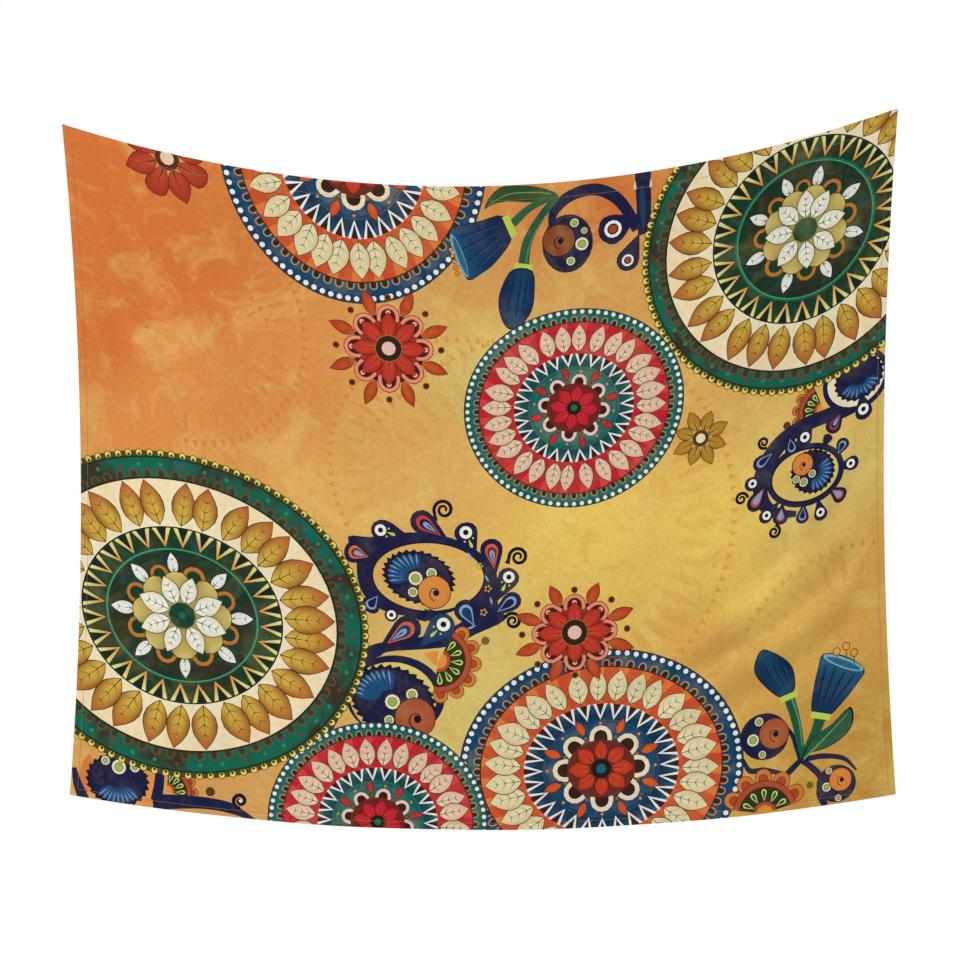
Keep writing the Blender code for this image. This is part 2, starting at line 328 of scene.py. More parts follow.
INK = (16, 14, 24)
NAVY = (22, 25, 64)
NAVY_DEEP = (14, 17, 44)
BLUE = (8, 64, 100)
PEACOCK = (14, 78, 112)
TEAL = (12, 98, 90)
GREEN = (12, 98, 74)
FOREST = (16, 56, 36)
BROWN_BLACK = (44, 26, 12)
MAROON = (84, 30, 16)
BRICK = (158, 70, 40)
AMBER = (222, 140, 52)
RED = (186, 30, 44)
SALMON = (232, 138, 112)
CREAM = (232, 220, 184)
IVORY = (236, 234, 220)
PEARL = (228, 230, 228)
YELLOW = (226, 206, 98)
BRONZE = (150, 92, 30)
LIME = (184, 204, 76)
SKY = (128, 160, 196)
VEIN = (74, 62, 22)

BURNT_ORANGE = (205, 110, 50)
APRICOT = (215, 140, 70)
HONEY = (220, 170, 90)
TAN = (210, 155, 85)
STRAW = (210, 190, 110)
SUNFLOWER = (235, 200, 95)
OCHRE = (205, 155, 75)
OLD_GOLD = (185, 135, 50)
WASH_SPREAD = 55

WASHES = (  # where the painter laid each colour of the ground
    (BURNT_ORANGE, (50 + 100j, 50 + 350j, 200 + 200j, 600 + 0j, 950 + 50j)),
    (APRICOT, (50 + 550j, 200 + 450j, 400 + 400j)),
    (HONEY, (450 + 600j, 650 + 500j, 1150 + 450j)),
    (TAN, (700 + 200j, 950 + 200j, 350 + 1150j)),
    (STRAW, (750 + 350j, 1400 + 650j, 700 + 950j)),
    (SUNFLOWER, (950 + 650j, 1200 + 650j, 1250 + 800j)),
    (OCHRE, (1450 + 750j, 1450 + 900j, 1200 + 900j)),
    (OLD_GOLD, (1450 + 1100j,)),
)


def ground(p):
    """The watercolour ground, before the mottling that the cloth's material adds."""
    total, mixed = 0.0, (0.0, 0.0, 0.0)
    for colour, places in WASHES:
        for place in places:
            weight = (WASH_SPREAD**2 + abs(p - place) ** 2) ** -1.5
            total += weight
            mixed = tuple(m + weight * c for m, c in zip(mixed, colour))
    return tuple(m / total for m in mixed)


def tinted(colour, share):
    """The ground with some of a colour in it."""
    return lambda p: mix(ground(p), colour, share)


def along(base, tip, *colours):
    axis = tip - base

    def paint(p):
        share = min(max(((p - base) / axis).real, 0), 0.9999) * (len(colours) - 1)
        low = int(share)
        return mix(colours[low], colours[low + 1], share - low)

    return paint


def across(base, tip, width, middle, edge):
    axis = tip - base

    def paint(p):
        off = abs(((p - base) / axis).imag) * abs(axis) / (width / 2)
        return mix(middle, edge, min(off, 1))

    return paint


def glow(centre, radius, inner, outer):
    """One colour in the middle that turns into another at the radius."""
    return lambda p: mix(inner, outer, min(abs(p - centre) / radius, 1) ** 1.5)


# ---------------------------------------------------------------- motifs
def veined_leaf(base, tip, width, fill, tip_colour, edge, outline, vein, veins=3, line=1.6, profile=LEAF):
    """A leaf with a darker edge, a midrib and slanting side veins."""
    axis = tip - base
    length = abs(axis)
    ahead = axis / length

    def paint(p):
        q = (p - base) / axis
        off = min(abs(q.imag) * length / (width / 2), 1)
        colour = mix(fill, edge, off**2)
        return mix(colour, tip_colour, max(0, q.real * 1.6 - 0.75))

    lay(blade(base, tip, width, profile, line), outline)
    lay(blade(base, tip, width, profile), paint)
    if width > 38:
        lay(blade(base + axis * 0.2, tip - axis * 0.22, width * 0.55, SPEAR), paint)
    if veins:
        rib = base + axis * 0.84
        root = 1j * ahead * max(0.9, width * 0.022)
        lay([base + root, rib, base - root], vein)
        for i in range(veins):
            foot = base + axis * (0.2 + 0.46 * i / max(veins - 1, 1))
            reach = width * (0.34 - 0.05 * i)
            for hand in (-1, 1):
                end = foot + ahead * reach * 0.75 + 1j * ahead * hand * reach
                lay([foot - ahead * 1.1, end, foot + ahead * 1.1], vein)


def arch(foot, outward, width, height, stroke, line, hollow):
    """A round-headed arch that stands on a ring, with a filled hollow."""
    side = 1j * outward
    steps = [math.pi * i / 6 for i in range(7)]

    def outline(w, h):
        head = [foot + side * w * math.cos(a) + outward * (h - w + w * math.sin(a)) for a in steps]
        return [foot + side * w, *head, foot - side * w]

    lay(outline(width / 2, height), stroke)
    lay(outline(width / 2 - line, height - line), hollow)


class Disc:
    """An elliptical motif: places are given by a share of the radius and a direction in degrees."""

    def __init__(self, s, t, rx, ry):
        self.centre, self.rx, self.ry = complex(s, t), rx, ry
        self.mean = (rx + ry) / 2

    def at(self, r, degrees):
        a = math.radians(degrees)
        return self.centre + complex(self.rx * r * math.cos(a), self.ry * r * math.sin(a))

    def out(self, degrees):
        way = self.at(1, degrees) - self.centre
        return way / abs(way)

    def fill(self, r, paint, mottle=0.15, count=84):
        lay(ellipse(self.centre, self.rx * r, self.ry * r, count), paint, mottle)

    def pearls(self, r, count, size, paint, rim, eye=None):
        for i in range(count):
            a = 360 * i / count
            place = self.at(r, a)
            if not (-10 < place.real < WIDTH_MM + 10 and -10 < place.imag < HEIGHT_MM + 10):
                continue
            disc(place, size, paint, 8, rim, 1.5)
            if eye:
                disc(place - self.out(a) * size * 0.42, size * 0.56, eye, 6)

    def arches(self, r, count, width, height, stroke, line, hollow):
        for i in range(count):
            a = 360 * i / count
            arch(self.at(r, a), self.out(a), width, height, stroke, line, hollow)

    def leaves(self, inner, outer, count, width, start=0.0, sway=6.0, **looks):
        for i in range(count):
            a = start + 360 * i / count
            wide = width * DICE.uniform(0.92, 1.1)
            lean = DICE.uniform(-sway, sway) * 0.35
            base, tip = self.at(inner, a), self.at(outer, a + lean)
            veined_leaf(base, tip, wide * abs(tip - base) / (self.mean * (outer - inner)), **looks)

    def vees(self, outer, inner, count, arm, stroke, stroke_tip, hollow):
        for i in range(count):
            a, half = 360 * i / count, 180 / count
            tip = self.at(inner, a)
            corners = [self.at(outer, a - half * 0.86), self.at(outer, a + half * 0.86)]
            axis = (corners[0] + corners[1]) / 2 - tip
            step = axis / abs(axis) * arm * 2.3
            lay([corners[0], tip, corners[1]], along(tip, tip + axis, stroke_tip, stroke), 0.05)
            inset = [c + (tip + axis - c) * 0.46 for c in corners]
            lay([inset[0], tip + step, inset[1]], hollow)


def bloom(disc_, petals, colours, r_petal, r_loop, r_leaf, start=0.0):
    """The small flower in the middle of a mandala."""
    petal, petal_edge, backing, loop_colour, loop_hollow, leaf, leaf_edge = colours
    step = 360 / petals
    unit = disc_.mean
    for i in range(petals):
        a = start + step * (i + 0.5)
        base, tip = disc_.at(r_leaf[0], a), disc_.at(r_leaf[1], a)
        veined_leaf(
            base, tip, abs(
                tip - base
            ) * 0.5, leaf, leaf_edge, leaf_edge, BROWN_BLACK, MAROON, veins=0, line=1.3
        )
        disc(disc_.at(r_leaf[0] - 0.03, a), unit * 0.016, BRONZE, 6, INK, 1.2)
    for i in range(petals):
        a = start + step * i
        width = unit * (r_loop[1] - r_loop[0]) * 1.45
        arch(
            disc_.at(r_loop[0], a), disc_.out(a), width, unit * (r_loop[1] - r_loop[0]), loop_colour,
            width * 0.2, loop_hollow,
        )
        disc(disc_.at(r_loop[1] + 0.03, a), unit * 0.012, AMBER, 6)
    disc_.fill(r_loop[0] + 0.01, backing, 0.05, 32)
    for i in range(petals):
        a = start + step * i
        base, tip = disc_.at(r_petal[0], a), disc_.at(r_petal[1], a)
        veined_leaf(
            base, tip, abs(tip - base) * 0.72, petal, petal_edge, petal_edge, BROWN_BLACK, MAROON, veins=0,
            line=1.3,
        )
        lay(
            [base + 0.8 * 1j * disc_.out(a), base + (tip - base) * 0.75, base - 0.8 * 1j * disc_.out(a)],
            MAROON,
        )


def green_mandala(s, t, rx, ry, bands, leaves, leaf_width, start, whites):
    """Dark green, cream and gold: leaves round a zigzag ring and an eight-leaved flower."""
    cream, zigzag, tips, core = bands
    m = Disc(s, t, rx, ry)
    m.fill(1.018, (70, 70, 30), 0, 96)
    m.pearls(1.004, 104, 5.6, YELLOW, (84, 66, 20), (60, 62, 28))
    m.fill(0.985, (20, 44, 26), 0.0, 96)
    m.fill(0.975, GREEN, 2.0, 96)
    for i in range(48):
        diamond = m.at(0.935, 7.5 * i)
        lay(ellipse(diamond, 4.5, 4.5, 4), (40, 130, 96) if i % 3 else (120, 52, 30))
    m.arches(cream + 0.012, 70, 17, 15, (124, 58, 36), 3, (26, 66, 42))
    m.fill(cream + 0.012, BROWN_BLACK, 0.3)
    m.fill(cream, CREAM, 0.25)
    for i in range(leaves):
        a = start + 360 * (i + 0.5) / leaves
        lay(
            [m.at(cream, a - 3.4), m.at(cream * 0.5 + zigzag * 0.5, a), m.at(cream, a + 3.4)],
            (236, 214, 170), 0.1,
        )
    m.leaves(
        zigzag + 0.02, cream - 0.008, leaves, leaf_width, start, 8,
        fill=(208, 170, 68), tip_colour=(160, 70, 30), edge=(134, 80, 26), outline=(60, 40, 14), vein=VEIN,
    )
    m.fill(zigzag + 0.008, INK)
    m.fill(zigzag, FOREST, 1.5)
    m.fill(tips - 0.004, GREEN, 0.5, 60)
    m.vees(zigzag, tips, 28, 3.4, (224, 222, 140), (206, 132, 52), (10, 34, 30))
    m.fill(core + 0.008, (62, 150, 110), 0.0, 60)
    m.fill(core, glow(m.centre, m.mean * core, (20, 66, 48), (20, 46, 30)), 1.5, 60)
    for i, a in enumerate(whites):
        b = whites[(i + 1) % 8] + (360 if i == 7 else 0)
        middle = (a + b) / 2
        foot, head = m.at(0.2, middle), m.at(0.325, middle)
        wide = abs(m.at(0.26, a) - m.at(0.26, b)) * 0.62
        arch(foot, m.out(middle), wide, abs(head - foot), (186, 112, 40), wide * 0.17, FOREST)
    for i, a in enumerate(whites):
        base, tip = m.at(0.253, a), m.at(0.39, a)
        veined_leaf(
            base, tip, abs(tip - base) * 0.5, IVORY, PEARL, (196, 206, 198), INK, (70, 86, 84), 2, 1.6,
        )
        disc(m.at(0.232, a), m.mean * 0.016, (96, 60, 20), 6, INK, 1.2)
    for i, a in enumerate(whites):
        veined_leaf(
            m.at(0.05, a), m.at(0.272, a), m.mean * 0.15, (176, 152, 78), (208, 192, 112), (120, 84, 34),
            (70, 54, 20), VEIN, 0, 1.6, BLUNT,
        )
    for i, a in enumerate(whites):
        middle = a + 22
        base, tip = m.at(0.075, middle), m.at(0.25, middle)
        veined_leaf(
            base, tip, abs(tip - base) * 0.62, IVORY, (224, 220, 190), (206, 204, 180), (66, 70, 40),
            (60, 66, 60), 3, 1.6,
        )
    lay(ellipse(m.centre, m.mean * 0.088, m.mean * 0.084, 10), (130, 150, 70), 0)
    lay(ellipse(m.centre, m.mean * 0.08, m.mean * 0.077, 10), (14, 62, 44), 0.6)
    disc(m.centre, m.mean * 0.022, (24, 104, 76), 8)


def banded_mandala(s, t, rx, ry, ring, belt, belt_glow, leaf_colours, core_colour, bands, flower, counts):
    """A ring of pearls and arches, leaves on a bright belt, white zigzags and a flower."""
    edge, vee, tips, core = bands
    leaves, vees, pearls, arches = counts
    m = Disc(s, t, rx, ry)
    scale = m.mean / 240
    m.fill(1.012, (44, 52, 56), 0, 90)
    m.fill(1.0, mix(ring, INK, 0.15), 0.3, 90)
    m.pearls(0.978, pearls, 4.6 * scale + 0.4, PEARL, mix(ring, INK, 0.3))
    m.fill(0.952, ring, 0.55, 90)
    m.arches(edge + 0.006, arches, 15 * scale, 14 * scale, (166, 138, 100), 2.6 * scale, (50, 34, 24))
    m.fill(edge + 0.01, (74, 34, 24), 0)
    m.fill(edge, belt, 0.5)
    for i in range(leaves):
        a = 360 * (i + 0.5) / leaves
        lay([m.at(edge, a - 2.6), m.at(vee * 0.6 + edge * 0.4, a), m.at(edge, a + 2.6)], belt_glow, 0.3)
        lay(
            [m.at(vee, a - 3.0), m.at(vee * 0.7 + edge * 0.3, a), m.at(vee, a + 3.0)],
            mix(belt, belt_glow, 0.5), 0.3,
        )
    leaf, leaf_tip, leaf_edge, vein = leaf_colours
    m.leaves(
        vee + 0.03, edge - 0.02, leaves, 36 * scale, 4, 7,
        fill=leaf, tip_colour=leaf_tip, edge=leaf_edge, outline=(96, 50, 26), vein=vein,
    )
    m.fill(vee, mix(core_colour, INK, 0.35), 0.3)
    m.fill(tips, core_colour, 0.5, 60)
    m.vees(vee + 0.012, tips, vees, 2.6 * scale + 0.4, PEARL, PEARL, (52, 30, 26))
    for i in range(vees):
        a = 360 * (i + 0.5) / vees
        lay(
            [m.at(vee, a - 1.8), m.at(tips + 0.05, a), m.at(vee, a + 1.8)],
            mix(core_colour, (40, 140, 150), 0.12), 0.3,
        )
    m.fill(core, mix(core_colour, INK, 0.22), 0.4, 60)
    m.fill(core - 0.012, core_colour, 0.6, 60)
    bloom(m, 8, flower["colours"], flower["petal"], flower["loop"], flower["leaf"], flower["start"])
    disc(m.centre, m.mean * flower["eye"], (34, 18, 16), 12)
    disc(m.centre, m.mean * flower["eye"] * 0.5, flower["dot"], 8)


def red_flower(s, t, rx, ry, start=0):
    """A free flower: two rounds of petals, arches with dark hollows and eight loose leaves."""
    m = Disc(s, t, rx, ry)
    red_brown, dark = (112, 36, 24), (64, 24, 14)
    for i in range(8):
        a = start + 45 * (i + 0.5)
        base, tip = m.at(0.58, a), m.at(1.03, a)
        veined_leaf(
            base, tip, 21, (196, 84, 38), (166, 48, 28), (160, 56, 28), (84, 34, 16), (110, 36, 20), 0, 1.4,
        )
        disc(m.at(0.535, a), 6, BROWN_BLACK, 8, BRONZE, 1.6)
    for i in range(8):
        a = start + 45 * i
        arch(m.at(0.40, a), m.out(a), 43, 0.335 * m.mean, (92, 40, 24), 1.5, SALMON)
        arch(m.at(0.40, a), m.out(a), 29, 0.27 * m.mean, (176, 84, 60), 1.5, dark)
        disc(m.at(0.60, a), 4.6, (232, 176, 150), 8)
        disc(m.at(0.85, a), 5.2, (70, 34, 18), 8, BRONZE, 1.5)
    m.fill(0.475, (206, 112, 92), 0.1, 32)
    m.fill(0.45, red_brown, 0.1, 32)
    for i in range(8):
        base, tip = m.at(0.18, start + 45 * (i + 0.5)), m.at(0.50, start + 45 * (i + 0.5))
        veined_leaf(
            base, tip, 20, (180, 56, 38), (148, 40, 28), (140, 38, 28), (84, 28, 20), red_brown, 0, 1.4,
        )
    for i in range(8):
        a = start + 45 * i
        base, tip = m.at(0.17, a), m.at(0.60, a)
        veined_leaf(
            base, tip, 29, (200, 62, 38), (168, 42, 30), (154, 38, 28), (84, 28, 20), red_brown, 0, 1.5,
        )
        lay([base + 1.2j * m.out(a), base + (tip - base) * 0.8, base - 1.2j * m.out(a)], red_brown)
    disc(m.centre, 24, (50, 28, 14), 16, (150, 110, 60), 1.5)
    disc(m.centre, 13, (222, 186, 172), 12)


def small_flower(s, t, petal, petal_edge, dark, centre, petals, eye, length, width):
    """Long petals round a small eye, each with a dark midrib."""
    middle = complex(s, t)
    for i in range(petals):
        way = turned(360 * (i + 0.5) / petals)
        reach = length * (1.0 if i % 2 else 0.92)
        base, tip = middle + way * eye, middle + way * reach
        profile = BLUNT if i % 2 == 0 and eye > 20 else LEAF
        veined_leaf(base, tip, width, petal, petal_edge, petal_edge, dark, dark, 0, 1.5, profile)
        lay([base + 1.3j * way, middle + way * reach * 0.8, base - 1.3j * way], dark)
    disc(middle, eye, dark, 14, mix(dark, centre, 0.4), 1.4)
    disc(middle, eye * 0.58, centre, 10)


def ring_eye(s, t, radius):
    """A white ring with a dark middle."""
    place = complex(s, t)
    disc(place, radius, IVORY, 12, NAVY_DEEP, 1.5)
    disc(place, radius * 0.45, INK, 8)


def striped_lobe(base, tip, width, rings):
    """A rounded lobe with nested loops of colour."""
    lay(blade(base, tip, width, DROP, 1.2), NAVY_DEEP)
    lay(blade(base, tip, width, DROP), NAVY, 0.3)
    axis = tip - base
    for i, colour in enumerate(rings):
        start, end = base + axis * (0.22 + 0.06 * i), tip - axis * (0.12 + 0.085 * i)
        lay(blade(start, end, width * (0.62 - 0.19 * i), DROP), colour)


def spiral_disc(s, t, radius, paint):
    """A rusty disc with a dark spiral a little off its middle."""
    place, dark = complex(s, t), (60, 26, 14)
    eye = place + complex(radius * 0.12, radius * 0.05)
    disc(place, radius, glow(place, radius, mix(paint, (240, 190, 110), 0.15), paint), 20, dark, 1.6, 0.5)
    disc(eye, radius * 0.2, INK, 8)
    curl(eye, radius * 0.52, 100, 0.8, dark, radius * 0.07)


def seeds(*places):
    """Cream drops with a lime middle, each given by its place and radius."""
    for s, t, radius in places:
        disc(complex(s, t), radius, CREAM, 12, NAVY_DEEP, 1.4)
        disc(complex(s, t), radius * 0.6, (150, 176, 84), 8, (60, 70, 40), 1.0)


def petal_strokes(lines, width, dark, shift, end_shift, thin, pale):
    """Dark spear-shaped strokes on a petal, each with a thin pale one beside it."""
    for start, end in lines:
        lay(blade(start, end, width, SPEAR), dark, 0.2)
        lay(blade(start + shift, end + end_shift, thin, SPEAR), pale)


HATCHES = 9


def serrated_bud(s, t, rx, ry, tilt, teeth=26, hatch_from=150, hatch_to=250):
    """A dark bud with a toothed edge, pale strokes fanning over one end."""
    middle, spin = complex(s, t), turned(tilt)

    def place(share, angle):
        return middle + spin * complex(rx * share * math.cos(angle), ry * share * math.sin(angle))

    outline = []
    for i in range(teeth * 2):
        tooth = i % 2
        outline.append(place(1.06 if tooth else 0.96, math.pi * i / teeth + 0.05 * tooth))
    lay(outline, (14, 18, 44), 0.2)
    lay(ellipse(middle, rx * 0.9, ry * 0.9, 26, tilt), NAVY, 0.4)
    for i in range(HATCHES):
        a = math.radians(hatch_from + (hatch_to - hatch_from) * i / (HATCHES - 1))
        root, end = place(0.3, a), place(0.9, a)
        lay(blade(root, end, rx * 0.22, SPEAR), PEACOCK if i % 2 else (30, 70, 120), 0.2)
        lay(blade(root + (end - root) * 0.25, end, rx * 0.035, SPEAR), SKY)


def lace_fan(centre, start, end, radius, count):
    """A fan of lace: brick rings, a dark band of lime loops and a scalloped edge."""

    def at(r, degrees):
        return centre + cmath.rect(r, math.radians(degrees))

    def slice_(r, paint):
        steps = [start + (end - start) * i / 14 for i in range(15)]
        lay([centre, *[at(r, a) for a in steps]], paint)

    for i in range(count):
        a = start + (end - start) * (i + 0.5) / count
        way = at(1, a) - centre
        wide = math.radians(abs(end - start) / count) * radius * 1.02
        arch(at(radius, a), way, wide, wide * 0.72, (104, 52, 20), 1.4, (206, 120, 50))
        arch(at(radius, a), way, wide * 0.55, wide * 0.42, (104, 52, 20), 1.4, (170, 70, 36))
    slice_(radius + 1.5, (84, 36, 18))
    slice_(radius, (176, 74, 46))
    slice_(radius * 0.84, (70, 36, 20))
    slice_(radius * 0.80, (40, 50, 24))
    for i in range(count):
        a = start + (end - start) * (i + 0.5) / count
        way = at(1, a) - centre
        base, tip = at(radius * 0.38, a), at(radius * 0.76, a)
        lay(blade(base, tip, radius * 0.17, DROP), (196, 212, 110))
        lay(blade(base + way * 2.5, tip - way * 2.5, radius * 0.08, DROP), (46, 56, 30))
    slice_(radius * 0.36, (176, 74, 46))
    slice_(radius * 0.26, (222, 140, 60))


def comma(s, t, radius, tail, ring, core):
    """A navy disc with a tail, a white ring and a bright centre."""
    place = complex(s, t)
    head = place - (tail - place) * radius / abs(tail - place) * 0.9
    lay(blade(tail, head, radius * 2, DROP, 1.0), NAVY, 0.3)
    disc(place, radius, NAVY, 14, mottle=0.3)
    disc(place, ring, IVORY, 12)
    disc(place, ring * 0.66, NAVY_DEEP, 10)
    disc(place, ring * 0.5, core, 8)


# ---------------------------------------------------------------- the whole print
BLUE_LEAVES = ((226, 214, 172), (216, 200, 150), (200, 184, 134), (92, 88, 62))
PINK_LEAVES = ((230, 204, 176), (216, 176, 150), (208, 168, 142), (110, 70, 60))
BLUE_BELT = dict(
    ring=BLUE, belt=(196, 74, 36), belt_glow=(224, 116, 50), leaf_colours=BLUE_LEAVES,
    core_colour=(8, 68, 104), bands=(0.855, 0.54, 0.415, 0.40),
    flower=dict(
        colours=(
            (202, 66, 38), (176, 46, 28), (104, 42, 28), (232, 214, 182), (52, 26, 22), (214, 96, 40),
            (190, 66, 30),
        ),
        petal=(0.075, 0.235), loop=(0.235, 0.355), leaf=(0.31, 0.44), start=0.0, eye=0.078,
        dot=(20, 96, 120),
    ),
)
RED_BELT = dict(
    ring=TEAL, belt=RED, belt_glow=(214, 60, 56), leaf_colours=PINK_LEAVES,
    core_colour=(16, 100, 96), bands=(0.868, 0.54, 0.42, 0.40),
    flower=dict(
        colours=(
            (206, 40, 48), (176, 26, 38), (110, 34, 34), (236, 196, 184), (52, 26, 22), (206, 60, 44),
            (178, 40, 34),
        ),
        petal=(0.06, 0.225), loop=(0.24, 0.34), leaf=(0.3, 0.42), start=10, eye=0.066, dot=(20, 110, 70),
    ),
)


def ghost_rings():
    """Faint wheels of small triangles and leaves in the ground."""
    for s, t, radius, first, last, count, size in (
        (200, 300, 225, -40, 95, 30, 9),
        (860, 640, 360, -150, 60, 64, 9),
        (700, 520, 235, 150, 290, 30, 8),
        (250, 330, 120, -180, 60, 22, 8),
        (1440, 980, 230, -150, -60, 18, 8),
    ):
        middle = complex(s, t)
        for i in range(count):
            a = first + (last - first) * i / count
            way = turned(a)
            place = middle + way * radius
            foot, side = place - way * size * 0.6, 1j * way * size * 0.6
            lay([foot + side, place + way * size, foot - side], tinted((210, 106, 24), 0.34), 0.3)
            if i % 2:
                start = middle + way * radius * 0.72
                leaf = blade(start, start + way * radius * 0.2, radius * 0.045, LEAF)
                lay(leaf, tinted((200, 104, 30), 0.11), 0.3)


def top_tulips():
    """Two blue tulips on green stems, a leaf and a navy arch with eyes."""
    arch_path = smooth([877 + 90j, 884 + 52j, 915 + 26j, 957 + 20j, 992 + 38j, 1016 + 68j, 1034 + 104j])
    lay(band(arch_path, [8, 20, 22, 22, 20, 18]), NAVY, 0.3)
    lay([1027 - 4j, 1056 - 4j, 1060 + 112j, 1036 + 116j], NAVY, 0.3)
    lay(blade(1040 + 20j, 1046 + 110j, 12, LEAF), (24, 60, 84))
    comma(990, 97, 27, 1036 + 76j, 16, BRICK)
    comma(1018, 158, 20, 1038 + 112j, 11, BRICK)
    lay(ellipse(908 + 115j, 46, 54, 26), NAVY, 0.4)
    lay(ellipse(911 + 114j, 41, 46, 24), glow(911 + 114j, 44, (26, 40, 84), NAVY_DEEP), 0.3)
    seeds((920, 78, 8), (934, 118, 12), (914, 148, 8), (938, 94, 6))
    spiral_disc(892, 108, 29, (126, 54, 34))
    leaf = [757 + 43j, 770 + 17j, 795 + 1j, 850 + 5j, 889 + 23j, 847 + 34j, 800 + 30j, 773 + 35j]
    lay(loop_of(leaf, 3), (36, 72, 40), 0.4)
    lay(band(smooth([762 + 38j, 800 + 17j, 850 + 16j, 884 + 22j]), [1, 2, 2]), (120, 150, 70))
    lay(band(smooth([808 + 72j, 840 + 44j, 887 + 23j]), [16, 13, 12]), (36, 90, 60), 0.4)
    lay(band(smooth([828 + 148j, 836 + 104j, 862 + 58j, 890 + 25j]), [20, 17, 14, 12]), (30, 84, 60), 0.4)
    lay(band(smooth([832 + 146j, 842 + 104j, 868 + 60j]), [4, 3, 2]), (70, 130, 80))
    tulip = [
        790 + 58j, 750 + 66j, 697 + 80j, 700 + 110j, 712 + 140j, 727 + 173j, 753 + 160j, 776 + 142j,
        806 + 98j,
    ]
    lay(loop_of(grown(tulip, 750 + 112j, 0.03), 3), INK)
    lay(loop_of(tulip, 3), along(700 + 120j, 800 + 80j, (20, 84, 116), (10, 44, 86), (12, 28, 66)), 0.35)
    petal_strokes(
        ((708 + 96j, 786 + 72j), (714 + 118j, 790 + 82j), (722 + 142j, 794 + 90j), (736 + 158j, 798 + 98j)),
        7, (14, 40, 84), 3j, 2j, 1.8, (30, 78, 112),
    )
    lay(ellipse(711 + 129j, 8, 43, 18, -20), (112, 160, 178), 0.2)
    lay(ellipse(713 + 130j, 5, 38, 16, -20), (40, 96, 124), 0.2)
    for i in range(5):
        disc(696 + 14 * i * 0.2 + 1j * (118 + 11 * i), 4, AMBER, 6, BROWN_BLACK, 1.2)
    lay([789 + 59j, 801 + 55j, 816 + 92j, 806 + 99j], LIME, 0.2)
    lay([812 + 144j, 845 + 150j, 843 + 162j, 810 + 157j], LIME, 0.2)
    bud = [
        810 + 158j, 792 + 182j, 783 + 214j, 788 + 246j, 802 + 266j, 823 + 260j, 842 + 234j, 847 + 200j,
        843 + 163j,
    ]
    lay(loop_of(grown(bud, 815 + 210j, 0.04), 3), INK)
    lay(loop_of(bud, 3), across(828 + 160j, 808 + 262j, 62, (10, 64, 98), (8, 34, 72)), 0.35)
    petal_strokes(
        ((814 + 166j, 797 + 240j), (826 + 166j, 812 + 252j), (836 + 168j, 828 + 240j)), 5, (14, 36, 76), 3,
        2, 1.6, (28, 74, 108),
    )


